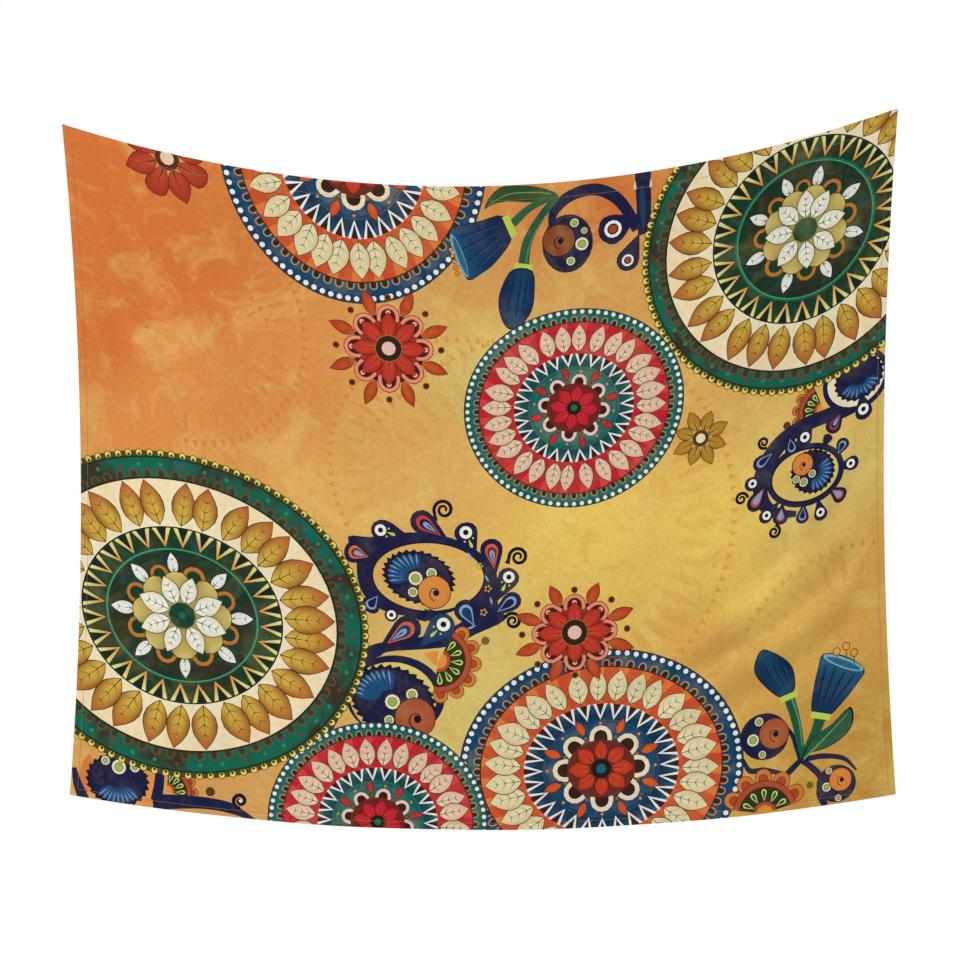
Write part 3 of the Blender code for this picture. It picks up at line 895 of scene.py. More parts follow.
def bottom_tulips():
    """Two more tulips with their leaf, on a navy stalk with two discs."""
    for path, widths in (
        ([1218 + 1158j, 1262 + 1157j, 1298 + 1140j, 1331 + 1114j], [14, 14, 12, 10]),
        ([1226 + 1098j, 1238 + 1120j, 1264 + 1122j, 1300 + 1134j], [6, 10, 10, 8]),
        ([1331 + 1112j, 1352 + 1130j, 1366 + 1150j, 1362 + 1178j, 1372 + 1200j], [10, 12, 10, 12]),
        ([1300 + 1040j, 1318 + 1066j, 1326 + 1090j, 1334 + 1116j], [4, 8, 10, 12]),
        ([1331 + 1114j, 1370 + 1112j, 1410 + 1122j, 1432 + 1146j], [10, 10, 8, 4]),
    ):
        lay(band(smooth([complex(p) for p in path]), widths), NAVY, 0.3)
    lay(ellipse(1267 + 1062j, 45, 42, 26), NAVY, 0.4)
    lay(ellipse(1262 + 1064j, 37, 35, 22), glow(1262 + 1064j, 38, (26, 44, 88), NAVY_DEEP), 0.3)
    seeds((1258, 1034, 8), (1246, 1066, 11), (1262, 1094, 7))
    spiral_disc(1285, 1059, 27, (166, 82, 46))
    lay(ellipse(1394 + 1164j, 36, 33, 24), NAVY, 0.4)
    seeds((1382, 1140, 6), (1376, 1168, 8), (1396, 1190, 6))
    spiral_disc(1402, 1158, 20, (214, 120, 50))
    lace_fan(1262 + 1200j, -168, -12, 58, 5)
    lay(ellipse(1346 + 1160j, 7, 7, 10), (112, 100, 40))
    stem = (24, 84, 62)
    lay(band(smooth([1314 + 994j, 1326 + 1040j, 1332 + 1080j, 1337 + 1110j]), [20, 17, 14, 10]), stem, 0.4)
    lay(band(smooth([1374 + 1038j, 1362 + 1066j, 1346 + 1092j, 1336 + 1112j]), [22, 18, 13, 10]), stem, 0.4)
    lay(band(smooth([1320 + 1000j, 1332 + 1044j, 1336 + 1090j]), [4, 3, 2]), (80, 150, 96))
    leaf = [
        1330 + 1120j, 1352 + 1080j, 1392 + 1058j, 1426 + 1033j, 1432 + 1056j, 1418 + 1080j, 1384 + 1098j,
        1350 + 1104j,
    ]
    lay(loop_of(leaf, 3), INK)
    lay(loop_of(grown(leaf, 1386 + 1078j, -0.07), 3), (28, 86, 60), 0.4)
    lay(band(smooth([1338 + 1112j, 1376 + 1082j, 1422 + 1044j]), [3, 2.4, 1]), (120, 160, 70))
    bud = [
        1270 + 907j, 1298 + 921j, 1317 + 938j, 1325 + 956j, 1324 + 985j, 1301 + 996j, 1273 + 973j,
        1255 + 947j, 1256 + 926j,
    ]
    lay(loop_of(grown(bud, 1290 + 952j, 0.045), 3), INK)
    lay(loop_of(bud, 3), across(1268 + 912j, 1312 + 990j, 60, (14, 68, 98), (8, 38, 74)), 0.35)
    petal_strokes(
        ((1300 + 984j, 1268 + 930j), (1310 + 982j, 1284 + 926j), (1318 + 976j, 1304 + 936j)), 5,
        (14, 36, 76), 2, 2, 1.6, (28, 74, 108),
    )
    lay([1298 + 996j, 1330 + 988j, 1333 + 998j, 1300 + 1007j], LIME, 0.2)
    tulip = [
        1382 + 934j, 1371 + 959j, 1363 + 987j, 1357 + 1029j, 1374 + 1038j, 1390 + 1040j, 1414 + 1021j,
        1442 + 993j, 1454 + 972j, 1420 + 944j,
    ]
    lay(loop_of(grown(tulip, 1400 + 985j, 0.04), 3), INK)
    lay(
        loop_of(tulip, 3), along(1374 + 1036j, 1420 + 950j, (10, 40, 80), (14, 60, 94), (30, 96, 124)),
        0.35,
    )
    petal_strokes(
        (
            (1366 + 1026j, 1386 + 950j), (1374 + 1030j, 1404 + 956j), (1382 + 1034j, 1422 + 966j),
            (1388 + 1034j, 1440 + 976j),
        ),
        6, (12, 36, 78), 3, 3, 1.8, (30, 78, 112),
    )
    lay(ellipse(1418 + 954j, 41, 9, 18, 28), (120, 168, 184), 0.2)
    lay(ellipse(1418 + 955j, 35, 5.5, 16, 28), (44, 100, 128), 0.2)
    lay([1356 + 1030j, 1391 + 1041j, 1388 + 1051j, 1353 + 1041j], LIME, 0.2)
    for s, t in ((1406, 932), (1424, 926), (1438, 940)):
        disc(complex(s, t), 6, (214, 158, 70), 10, (90, 60, 24), 1.6)
        disc(complex(s, t), 2.6, ground(complex(s, t)), 6)
        lay(band([complex(s, t + 6), complex(s - 1, t + 22)], [1.6, 1.6]), (90, 60, 24))


def big_scroll():
    """Peacock-like navy scroll with lobes, eyes and two toothed buds."""
    outer = [
        499 + 661j, 541 + 659j, 571 + 652j, 631 + 646j, 691 + 655j, 742 + 680j, 772 + 708j, 779 + 745j,
        779 + 782j, 792 + 808j,
        739 + 834j, 691 + 857j, 631 + 865j, 571 + 872j, 530 + 896j, 520 + 880j, 541 + 861j, 577 + 851j,
        631 + 842j, 688 + 824j,
        724 + 802j, 736 + 782j, 712 + 786j, 672 + 799j, 620 + 803j, 575 + 798j, 543 + 782j, 523 + 758j,
        516 + 728j, 514 + 697j,
    ]
    lay(loop_of(outer, 3), NAVY, 0.35)
    lay(band(smooth([560 + 868j, 525 + 888j, 498 + 949j, 458 + 1020j]), [20, 24, 22, 30]), NAVY, 0.35)
    lay(ellipse(649 + 729j, 106, 66, 48), NAVY_DEEP)
    lay(ellipse(649 + 729j, 103, 63, 48), ground, 0.8)
    for i in range(8):
        root = 606 + 8.5 * i + 1j * (790 + 3.5 * math.sin(i))
        lay(blade(root, root + cmath.rect(30, math.radians(28 + 3 * i)), 13, DROP), NAVY, 0.3)
    striped_lobe(550 + 700j, 494 + 684j, 40, [(214, 110, 50), (120, 40, 40), SKY])
    striped_lobe(688 + 662j, 620 + 614j, 42, [(196, 62, 46), NAVY, SKY, NAVY_DEEP])
    striped_lobe(560 + 760j, 534 + 796j, 34, [SKY, NAVY])
    striped_lobe(774 + 728j, 764 + 658j, 40, [(206, 92, 46), (120, 40, 40), SKY, NAVY_DEEP])
    striped_lobe(766 + 802j, 818 + 764j, 32, [SKY, NAVY])
    striped_lobe(742 + 832j, 708 + 774j, 40, [SKY, (20, 58, 96)])
    striped_lobe(556 + 868j, 630 + 812j, 48, [(214, 90, 50), (20, 58, 96), SKY, NAVY_DEEP])
    for s, t, r, base, size in (
        (560, 645, 11, 626 + 664j, 40), (719, 645, 12, 738 + 690j, 42), (799, 729, 11, 778 + 772j, 38),
        (677, 817, 13, 632 + 860j, 46),
    ):
        place = complex(s, t)
        tip = place + (place - base) / abs(place - base) * size * 0.42
        lay(blade(base, tip, size, DROP, 1.2), NAVY_DEEP)
        lay(blade(base, tip, size, DROP), NAVY if t < 800 else (24, 62, 100), 0.35)
        ring_eye(s, t, r)
        back = (base - place) / abs(base - place)
        lay(blade(place + back * r * 1.1, place + back * r * 2.6, 6, DROP), LIME)
        for hand in (-1, 1):
            disc(place + back * r * 1.25 + 1j * back * hand * r * 0.7, 2.0, (230, 190, 80), 6)
    for s, t in ((744, 708), (760, 750), (752, 794)):
        for k in range(5):
            disc(complex(s, t) + turned(72 * k) * 5, 2.4, (200, 150, 60), 6)
    for start, end in (
        (722 + 682j, 732 + 696j), (754 + 724j, 762 + 738j), (764 + 766j, 768 + 780j),
        (720 + 826j, 738 + 818j),
    ):
        lay(blade(start, end, 4, LEAF), SKY)
    for s, t, r, start, hand, tail in (
        (678, 603, 19, 150, 1, 662 + 624j), (817, 692, 18, 170, 1, 796 + 704j),
        (806, 811, 16, 200, 1, 788 + 806j),
    ):
        curl(complex(s, t), r, start, 1.7, INK, 6.5, hand)
        lay(band([complex(s, t) + cmath.rect(r, math.radians(start)), tail], [6, 10]), NAVY)
    disc(580 + 802j, 9, IVORY, 10, NAVY, 4)
    disc(580 + 802j, 4, NAVY_DEEP, 8)
    serrated_bud(631, 730, 67, 48, 14, 28, 150, 255)
    seeds((625, 732, 13), (655, 722, 10), (620, 758, 9))
    spiral_disc(660, 757, 30, (214, 130, 58))
    lay(ellipse(588 + 953j, 92, 76, 40), NAVY, 0.35)
    lay(ellipse(584 + 957j, 80, 67, 36), (222, 198, 104), 0.3)
    lay(ellipse(582 + 962j, 76, 62, 36), ground, 0.5)
    serrated_bud(584, 962, 80, 62, 22, 30, 165, 245)
    seeds((583, 964, 14), (619, 949, 11), (577, 998, 9))
    spiral_disc(625, 993, 37, (160, 74, 46))
    lay([640 + 872j, 668 + 866j, 664 + 896j], AMBER)


def lace_beside_scroll():
    lace_fan(668 + 884j, -62, 100, 60, 6)
    disc(755 + 847j, 8, (112, 100, 40), 10)
    lay(band([735 + 866j, 751 + 851j], [1.6, 1.6]), (112, 100, 40))


def small_scroll():
    """The same kind of scroll, smaller, with its band running off the right edge."""
    middle = 1353 + 608j
    band_path = [
        1506 + 468j, 1489 + 476j, 1437 + 505j, 1387 + 512j, 1345 + 520j, 1308 + 540j, 1284 + 568j,
        1270 + 602j, 1272 + 638j,
        1296 + 664j, 1336 + 674j,
    ]
    lay(band(smooth(band_path), [40, 34, 30, 26, 26, 30, 32, 30, 26, 20, 10]), NAVY, 0.35)
    lay(ellipse(1446 + 461j, 62, 56, 30), NAVY, 0.35)
    lay(ellipse(1446 + 461j, 53, 46, 28), CREAM, 0.3)
    serrated_bud(1452, 459, 45, 38, -10, 22, 30, 150)
    lay(ellipse(middle, 73, 56, 34), NAVY, 0.35)
    for base, tip, wide, rings in (
        (1424 + 506j, 1398 + 542j, 28, [(170, 60, 50), NAVY, SKY]),
        (1322 + 528j, 1330 + 566j, 24, [SKY, NAVY]),
        (1300 + 550j, 1258 + 578j, 26, [SKY, NAVY]),
        (1282 + 606j, 1250 + 652j, 28, [(196, 70, 50), SKY]),
        (1310 + 650j, 1304 + 686j, 26, [(170, 60, 50), SKY]),
        (1350 + 656j, 1346 + 692j, 22, [SKY, NAVY]),
        (1396 + 640j, 1426 + 664j, 26, [(196, 70, 50), SKY]),
        (1410 + 590j, 1428 + 560j, 22, [SKY, NAVY]),
        (1386 + 566j, 1398 + 546j, 16, [NAVY_DEEP, NAVY]),
    ):
        striped_lobe(base, tip, wide, rings)
    for s, t, r, base in (
        (1352, 540, 9, 1366 + 512j), (1461, 516, 10, 1456 + 484j), (1254, 604, 8, 1284 + 596j),
        (1280, 666, 8, 1306 + 644j),
        (1381, 680, 8, 1376 + 654j), (1438, 606, 8, 1410 + 608j),
    ):
        place = complex(s, t)
        tip = place + (place - base) / abs(place - base) * r * 1.9
        lay(blade(base, tip, r * 3.2, DROP), NAVY, 0.35)
        ring_eye(s, t, r)
    for s, t, r, start, hand in ((1275, 534, 11, 60, 1), (1233, 628, 12, 0, -1), (1294, 698, 12, -80, 1)):
        curl(complex(s, t), r, start, 1.5, INK, 5.5, hand)
    lay(ellipse(middle, 65, 48, 34), NAVY_DEEP)
    lay(ellipse(middle, 62, 45, 34), ground, 0.8)
    serrated_bud(1367, 604, 41, 38, 30, 24, -60, 60)
    seeds((1336, 612, 7), (1350, 620, 8), (1366, 608, 7))
    spiral_disc(1348, 588, 19, (216, 124, 54))


def lower_left_bits():
    """What shows of a third scroll under the big green mandala."""
    lay(blade(30 + 1120j, 24 + 1204j, 26, LEAF), (206, 120, 56), 0.3)
    lay(band(smooth([4 + 1150j, 12 + 1176j, 26 + 1204j]), [8, 16, 20]), NAVY, 0.35)
    lay(band(smooth([136 + 1120j, 146 + 1150j, 138 + 1204j]), [16, 18, 16]), (222, 140, 72), 0.3)
    lay(band(smooth([158 + 1120j, 160 + 1150j, 156 + 1186j]), [14, 18, 20]), NAVY, 0.35)
    serrated_bud(84, 1160, 56, 46, 0, 24, 40, 130)
    seeds((85, 1136, 13), (114, 1132, 9), (60, 1128, 8))
    lace_fan(173 + 1168j, -86, 6, 46, 4)
    lay(
        band(
            smooth([150 + 1190j, 190 + 1184j, 240 + 1180j, 290 + 1184j, 336 + 1202j]), [30, 26, 22, 20, 6],
        ),
        NAVY, 0.35,
    )
    disc(253 + 1158j, 7, (92, 60, 30), 10, INK, 1.5)
    curl(308 + 1169j, 14, 90, 1.5, INK, 7)
    disc(308 + 1169j, 3, PEARL, 8)


def whole_print():
    """All motifs, the ones behind first."""
    ghost_rings()
    banded_mandala(522, -38, 237, 261, counts=(30, 28, 92, 62), **BLUE_BELT)
    small_flower(188, 10, (178, 66, 40), (150, 44, 26), (84, 36, 18), (222, 190, 160), 8, 22, 82, 40)
    top_tulips()
    red_flower(579, 306, 114, 112)
    lace_fan(1386 + 498j, -205, -112, 46, 4)
    disc(1318 + 512j, 6, (92, 60, 30), 8, INK, 1.2)
    small_scroll()
    green_mandala(
        1342, 167, 291, 283, (0.868, 0.572, 0.445, 0.42), 30, 40, 5,
        [-113, -78, -30, 18, 63, 109, 160, 205],
    )
    banded_mandala(921, 421, 202, 182, counts=(28, 26, 84, 60), **RED_BELT)
    small_flower(1157, 505, (190, 144, 48), (158, 108, 34), (86, 58, 20), (232, 220, 180), 8, 15, 54, 22)
    lower_left_bits()
    big_scroll()
    lace_beside_scroll()
    banded_mandala(967, 1092, 258, 219, counts=(30, 28, 92, 62), **BLUE_BELT)
    banded_mandala(559, 1189, 198, 184, counts=(28, 26, 84, 60), **RED_BELT)
    green_mandala(
        191, 844, 340, 289, (0.845, 0.545, 0.425, 0.408), 30, 46, 5, [-100, -52, -6, 40, 86, 130, 178, 223],
    )
    red_flower(921, 837, 115, 93)
    bottom_tulips()


# ---------------------------------------------------------------- meshes
GRID = (200, 160)  # fine steps, for the creases
GRID_STEP = 2  # every second one elsewhere
NEAR_EDGE = 0.01
GHOST_AREA = 650.0  # only larger shapes show through on the back
BORDER_SHARE = 0.78  # a shape that fills more than this of the one below leaves only a border of it
GHOST_SHARE = 0.34
BACK_WHITE = (226, 214, 192)
BACK_MOTTLE = 0.2
BAKE_MARGIN = 0.005
BAKE_BACK = 0.2  # the back takes this share of the bake map's height, the front the rest


def linear(colour):
    """Displayed 0-255 values as the renderer's linear ones."""
    values = np.clip(np.asarray(colour, float) / 255, 0, 1)
    return np.where(values <= 0.04045, values / 12.92, ((values + 0.055) / 1.055) ** 2.4)


def new_piece(name, vertices, faces, material):
    mesh = bpy.data.meshes.new(name)
    mesh.from_pydata([tuple(map(float, v)) for v in vertices], [], [tuple(map(int, f)) for f in faces])
    mesh.validate()
    mesh.shade_smooth()
    mesh.materials.append(material)
    piece = bpy.data.objects.new(name, mesh)
    bpy.context.scene.collection.objects.link(piece)
    return piece


def area_of(outline):
    return sum(a.real * b.imag - b.real * a.imag for a, b in zip(outline, outline[1:] + outline[:1])) / 2


def imprint(outlines, from_edge, epsilon, sheet=None):
    """Triangles of the flat cloth cut along every outline, each with the outlines it lies in."""
    vertices, faces = [], []
    sheet = sheet or [0j, WIDTH_MM + 0j, WIDTH_MM + HEIGHT_MM * 1j, HEIGHT_MM * 1j]
    for outline in [sheet, *outlines]:
        faces.append(list(range(len(vertices), len(vertices) + len(outline))))
        ordered = outline if area_of(outline) > 0 else outline[::-1]
        vertices += [Vector((p.real, p.imag)) for p in ordered]
    for i in range(from_edge, GRID[0] + 1 - from_edge):
        for j in range(from_edge, GRID[1] + 1 - from_edge):
            point = Vector((WIDTH_MM * i / GRID[0], HEIGHT_MM * j / GRID[1]))
            if (i % GRID_STEP == 0 and j % GRID_STEP == 0) or creased(point.x / 1000, point.y / 1000):
                vertices.append(point)
    points, _, triangles, _, _, owners = delaunay_2d_cdt(vertices, [], faces, 0, epsilon, True)
    kept = [(tri, own) for tri, own in zip(triangles, owners) if 0 in own]
    used = sorted({i for tri, _ in kept for i in tri})
    renumbered = {old: new for new, old in enumerate(used)}
    flat = np.array([tuple(points[i]) for i in used])
    corners = np.array([[renumbered[i] for i in tri] for tri, _ in kept])
    return flat, corners, [max(own) for _, own in kept]


def round_the_edge(flat):
    """Indices of the points on the cloth's edge, in order round it."""
    s, t = flat[:, 0], flat[:, 1]
    order = []
    for on_side, key in (
        (t < NEAR_EDGE, s),
        (s > WIDTH_MM - NEAR_EDGE, t),
        (t > HEIGHT_MM - NEAR_EDGE, -s),
        (s < NEAR_EDGE, -t),
    ):
        side = np.flatnonzero(on_side)
        order += list(side[np.argsort(key[side])][:-1])
    return order


def ghost_shapes():
    """The larger shapes of the print, without the thin dark borders that lie just under a fill."""
    kept = []
    for (outline, paint, _), (above, _, _) in zip(SHAPES, SHAPES[1:] + SHAPES[:1]):
        size = abs(area_of(outline))
        if size > GHOST_AREA and not BORDER_SHARE * size < abs(area_of(above)) < size:
            kept.append((outline, paint))
    return kept


def printed_cloth(material):
    """Front cut along the print's outlines, plain back, and a rim between them."""
    whole_print()
    flat, corners, tops = imprint([outline for outline, _, _ in SHAPES], 0, 1e-4)
    paints = [(ground, 1.0), *[(paint, mottle) for _, paint, mottle in SHAPES]]
    colours = np.empty((len(corners), 3, 4))
    for row, (tri, top) in enumerate(zip(corners, tops)):
        paint, mottle = paints[top]
        for k in range(3):
            colours[row, k, :3] = paint(complex(*flat[tri[k]]))
            colours[row, k, 3] = mottle
    edge = round_the_edge(flat)
    rim_outline = [complex(*flat[i]) for i in edge]
    large = ghost_shapes()
    back_flat, back_corners, back_tops = imprint(
        [outline for outline, _ in large], GRID_STEP, 1e-3, rim_outline,
    )
    ghosts = [ground, *[paint for _, paint in large]]
    back_colours = np.array(
        [[ghosts[top](complex(*back_flat[i])) for i in tri] for tri, top in zip(back_corners, back_tops)]
    )
    back_colours = back_colours * GHOST_SHARE + np.array(BACK_WHITE) * (1 - GHOST_SHARE)
    back_edge = round_the_edge(back_flat)
    if len(edge) != len(back_edge):
        raise ValueError(f"rim: {len(edge)} points in front and {len(back_edge)} behind")

    front_s, front_t = flat[:, 0] / 1000, flat[:, 1] / 1000
    back_s, back_t = back_flat[:, 0] / 1000, back_flat[:, 1] / 1000
    vertices = np.concatenate(
        [front_point(front_s, front_t), layer_point(back_s, back_t, np.full(len(back_s), PANEL_THICKNESS))]
    )
    normals = np.concatenate([-back_normal(front_s, front_t), back_normal(back_s, back_t)])
    offset = len(flat)
    rim = []
    for a, b, c, d in zip(edge, edge[1:] + edge[:1], back_edge, back_edge[1:] + back_edge[:1]):
        rim.append((a, b, offset + d))
        rim.append((a, offset + d, offset + c))
    faces = np.concatenate([corners[:, ::-1], back_corners + offset, np.array(rim)])
    piece = new_piece("printed_cloth", vertices, faces, material)
    mesh = piece.data
    if len(mesh.polygons) != len(faces):
        raise ValueError("the cloth's mesh lost faces")

    all_flat = np.concatenate([flat, back_flat])
    loop_vertex = np.empty(len(mesh.loops), np.int32)
    mesh.loops.foreach_get("vertex_index", loop_vertex)
    loop_flat = all_flat[loop_vertex]
    corner_colours = np.empty((len(mesh.loops), 4))
    corner_colours[: 3 * len(corners), :3] = linear(colours[:, ::-1, :3].reshape(-1, 3))
    corner_colours[: 3 * len(corners), 3] = colours[:, ::-1, 3].reshape(-1)
    rim_start = 3 * (len(corners) + len(back_corners))
    corner_colours[3 * len(corners) : rim_start, :3] = linear(back_colours.reshape(-1, 3))
    corner_colours[rim_start:, :3] = linear(BACK_WHITE)
    corner_colours[3 * len(corners) :, 3] = BACK_MOTTLE
    attribute = mesh.color_attributes.new("print", "FLOAT_COLOR", "CORNER")
    attribute.data.foreach_set("color", corner_colours.astype(np.float32).ravel())
    flat_map = mesh.uv_layers.new(name="flat_cloth")
    flat_map.data.foreach_set("uv", (loop_flat / 1000).astype(np.float32).ravel())
    share = loop_flat / np.array([WIDTH_MM, HEIGHT_MM])
    bake = np.empty_like(share)
    front_loops = np.arange(len(share)) < 3 * len(corners)
    bake[:, 0] = BAKE_MARGIN + (1 - 2 * BAKE_MARGIN) * share[:, 0]
    front_bake = BAKE_BACK + BAKE_MARGIN + (1 - BAKE_BACK - 2 * BAKE_MARGIN) * (1 - share[:, 1])
    back_bake = BAKE_MARGIN + (BAKE_BACK - 2 * BAKE_MARGIN) * (1 - share[:, 1])
    bake[:, 1] = np.where(front_loops, front_bake, back_bake)
    bake_map = mesh.uv_layers.new(name="OFBake")
    bake_map.data.foreach_set("uv", bake.astype(np.float32).ravel())
    mesh.normals_split_custom_set_from_vertices([tuple(n) for n in normals])
    return piece


def tube_rings(path, radius, sides, up=(0.0, 1.0, 0.0)):
    """Points round a path, ring after ring; radius may change along it."""
    path = np.asarray(path, float)
    ahead = np.gradient(path, axis=0)
    ahead /= np.linalg.norm(ahead, axis=1, keepdims=True)
    side = np.cross(ahead, np.asarray(up, float))
    side /= np.linalg.norm(side, axis=1, keepdims=True)
    over = np.cross(side, ahead)
    angles = math.tau * np.arange(sides) / sides
    radius = np.broadcast_to(np.asarray(radius, float), (len(path),))[:, None, None]
    ring = side[:, None] * np.cos(angles)[None, :, None] + over[:, None] * np.sin(angles)[None, :, None]
    return (path[:, None] + ring * radius).reshape(-1, 3)


def tube_faces(rings, sides):
    """Faces of a tube with closed ends."""
    faces = []
    for i in range(rings - 1):
        for j in range(sides):
            a, b = i * sides + j, i * sides + (j + 1) % sides
            faces.append((a, a + sides, b + sides, b))
    faces.append(tuple(range(sides)))
    faces.append(tuple(range((rings - 1) * sides, rings * sides))[::-1])
    return faces


def join_parts(parts):
    """Vertices and faces of several (vertices, faces) lists as one."""
    vertices, faces, offset = [], [], 0
    for part_vertices, part_faces in parts:
        vertices.append(np.asarray(part_vertices))
        faces += [tuple(offset + i for i in face) for face in part_faces]
        offset += len(part_vertices)
    return np.concatenate(vertices), faces


# ---------------------------------------------------------------- hems
HEM_STEP = 0.006
PUCKER = 0.00012
HEM_PROFILE = (  # share across, and of the thickness: rounded edges and a dip where the seam pulls
    (0.0, 0.5), (0.012, 0.18), (0.05, 0.0), (0.35, 0.0), (0.7, 0.0), (0.95, 0.0), (0.988, 0.18), (1.0, 0.5),
    (0.988, 0.82), (0.95, 1.0), (0.86, 0.9), (0.7, 1.0), (0.35, 1.0), (0.05, 1.0), (0.012, 0.82),
)


def hem_strip(name, edge_run, inner_run, material):
    """A turned hem: a rounded, flattened roll from the cloth's edge to its inner fold."""
    (s0, t0), (s1, t1) = edge_run
    (p0, q0), (p1, q1) = inner_run
    count = int(math.hypot(s1 - s0, t1 - t0) / HEM_STEP)
    x = np.linspace(0, 1, count + 1)
    near, half = PANEL_THICKNESS + LAYER_GAP, HEM_THICKNESS / 2
    rings = []
    for across, share in HEM_PROFILE:
        depth = near + 2 * half * share
        s = (s0 + (s1 - s0) * x) * (1 - across) + (p0 + (p1 - p0) * x) * across
        t = (t0 + (t1 - t0) * x) * (1 - across) + (q0 + (q1 - q0) * x) * across
        pucker = PUCKER * np.sin(math.tau * x * count / 2.0) * (depth > near + half) * -1
        rings.append(layer_point(s, t, depth + np.minimum(pucker, 0)))
    vertices = np.stack(rings, axis=1).reshape(-1, 3)
    return new_piece(name, vertices, tube_faces(count + 1, len(HEM_PROFILE)), material)


# ---------------------------------------------------------------- stitches
STITCH_PITCH = 0.0034
STITCH_LENGTH = 0.0029
STITCH_SIDES = 6
STITCH_PLACES = np.array([-0.5, -0.34, 0.34, 0.5]) * STITCH_LENGTH
STITCH_SWELL = np.array([0.0, 1.0, 1.0, 0.0])
STITCH_DIP = 0.9  # of the thread's radius
STITCH_TIP = 0.25  # of the thread's radius


def stitch_row(name, start, end, depth, outwards, material):
    """Short stitches in a row; their ends dip into the cloth."""
    (s0, t0), (s1, t1) = start, end
    length = math.hypot(s1 - s0, t1 - t0)
    count = int(length / STITCH_PITCH)
    way = np.array([(s1 - s0), (t1 - t0)]) / length
    middles = (np.arange(count) + 0.5) * length / count
    along = middles[:, None] + STITCH_PLACES[None, :]
    s = s0 + way[0] * along
    t = t0 + way[1] * along
    radius = THREAD_DIAMETER / 2
    dip = (1 - STITCH_SWELL) * radius * STITCH_DIP * -outwards
    centres = layer_point(s, t, depth + dip[None, :] + 0 * s)
    normal = back_normal(s, t)
    ahead = front_point(s + way[0] * 1e-3, t + way[1] * 1e-3) - front_point(s, t)
    ahead /= np.linalg.norm(ahead, axis=-1, keepdims=True)
    side = np.cross(ahead, normal)
    angles = math.tau * np.arange(STITCH_SIDES) / STITCH_SIDES
    size = radius * np.maximum(STITCH_SWELL, STITCH_TIP)[None, :, None, None]
    ring = side[:, :, None] * np.cos(angles)[:, None] + normal[:, :, None] * np.sin(angles)[:, None]
    vertices = (centres[:, :, None] + ring * size).reshape(-1, 3)
    one = tube_faces(len(STITCH_PLACES), STITCH_SIDES)
    per = len(STITCH_PLACES) * STITCH_SIDES
    faces = [tuple(k * per + i for i in face) for k in range(count) for face in one]
    return new_piece(name, vertices, faces, material)


# ---------------------------------------------------------------- loops, tacks and label
STRANDS = 3
STRAND_RADIUS = 0.00066
STRAND_OFFSET = 0.00058
STRAND_PITCH = 0.0062
STRAND_SIDES = 10
LEG_STEPS = 20
BEND_STEPS = 60
TACK_PASSES = 44


def hook_place(hand):
    """Where a nail holds the loop: hand is -1 for the left and 1 for the right."""
    return np.array([hand * (SPAN / 2 - LOOP_INSET), 0, hand * HANG_LIFT * (0.5 - LOOP_INSET / SPAN)])


def cord_loop(name, hook, material):
    """A loop of three-strand twisted cord: two legs and a half circle over the nail."""
    centre = hook - np.array([0, 0, LOOP_INNER_WIDTH / 2])
    route = [
        centre + np.array([-LOOP_RADIUS, 0, -LOOP_LEG * (1 - i / LEG_STEPS)]) for i in range(LEG_STEPS)
    ]
    for i in range(BEND_STEPS + 1):
        turn = math.pi * (1 - i / BEND_STEPS)
        route.append(centre + LOOP_RADIUS * np.array([math.cos(turn), 0, math.sin(turn)]))
    route += [
        centre + np.array([LOOP_RADIUS, 0, -LOOP_LEG * (i + 1) / LEG_STEPS]) for i in range(LEG_STEPS)
    ]
    route = np.array(route)
    run = np.concatenate([[0], np.cumsum(np.linalg.norm(np.diff(route, axis=0), axis=1))])
    ahead = np.gradient(route, axis=0)
    ahead /= np.linalg.norm(ahead, axis=1, keepdims=True)
    up = np.array([0.0, 1.0, 0.0])
    side = np.cross(ahead, up)
    parts = []
    for strand in range(STRANDS):
        phase = math.tau * (run / STRAND_PITCH + strand / STRANDS)
        path = route + STRAND_OFFSET * (side * np.cos(phase)[:, None] + up * np.sin(phase)[:, None])
        parts.append((tube_rings(path, STRAND_RADIUS, STRAND_SIDES), tube_faces(len(path), STRAND_SIDES)))
    return new_piece(name, *join_parts(parts), material)


def bar_tack(name, hook, material):
    """Dense zigzag stitches over the loop's ends."""
    behind = FRONT_Y + HEM_BACK + LAYER_GAP + TACK_RADIUS
    radius = TACK_RADIUS * 0.32
    path = []
    for i in range(TACK_PASSES + 1):
        x = hook[0] + (i / TACK_PASSES - 0.5) * (TACK_LENGTH - 2 * radius)
        hand = 1 if i % 2 else -1
        for k in range(-2, 3):
            rise = math.cos(math.pi / 2 * k / 2.6)
            x_step = (TACK_LENGTH / TACK_PASSES) * (k / 5)
            y = behind - TACK_RADIUS + radius + (2 * TACK_RADIUS - 2 * radius) * rise * 0.95
            path.append((x + x_step, y, hook[2] - TACK_DROP + hand * k / 2 * (TACK_RADIUS - radius)))
    core = [
        (
            hook[0] + x * (TACK_LENGTH / 2 - radius), behind, hook[2] - TACK_DROP,
        ) for x in np.linspace(-1, 1, 12)
    ]
    swell = TACK_RADIUS * np.array([0.4, 0.66] + [0.72] * 8 + [0.66, 0.4])
    parts = [
        (tube_rings(path, radius, 6, up=(0.9, 0.3, 0.0)), tube_faces(len(path), 6)),
        (tube_rings(core, swell, 12), tube_faces(12, 12)),
    ]
    return new_piece(name, *join_parts(parts), material)


LABEL_CURL = 0.0022
LABEL_GRID = (24, 32)


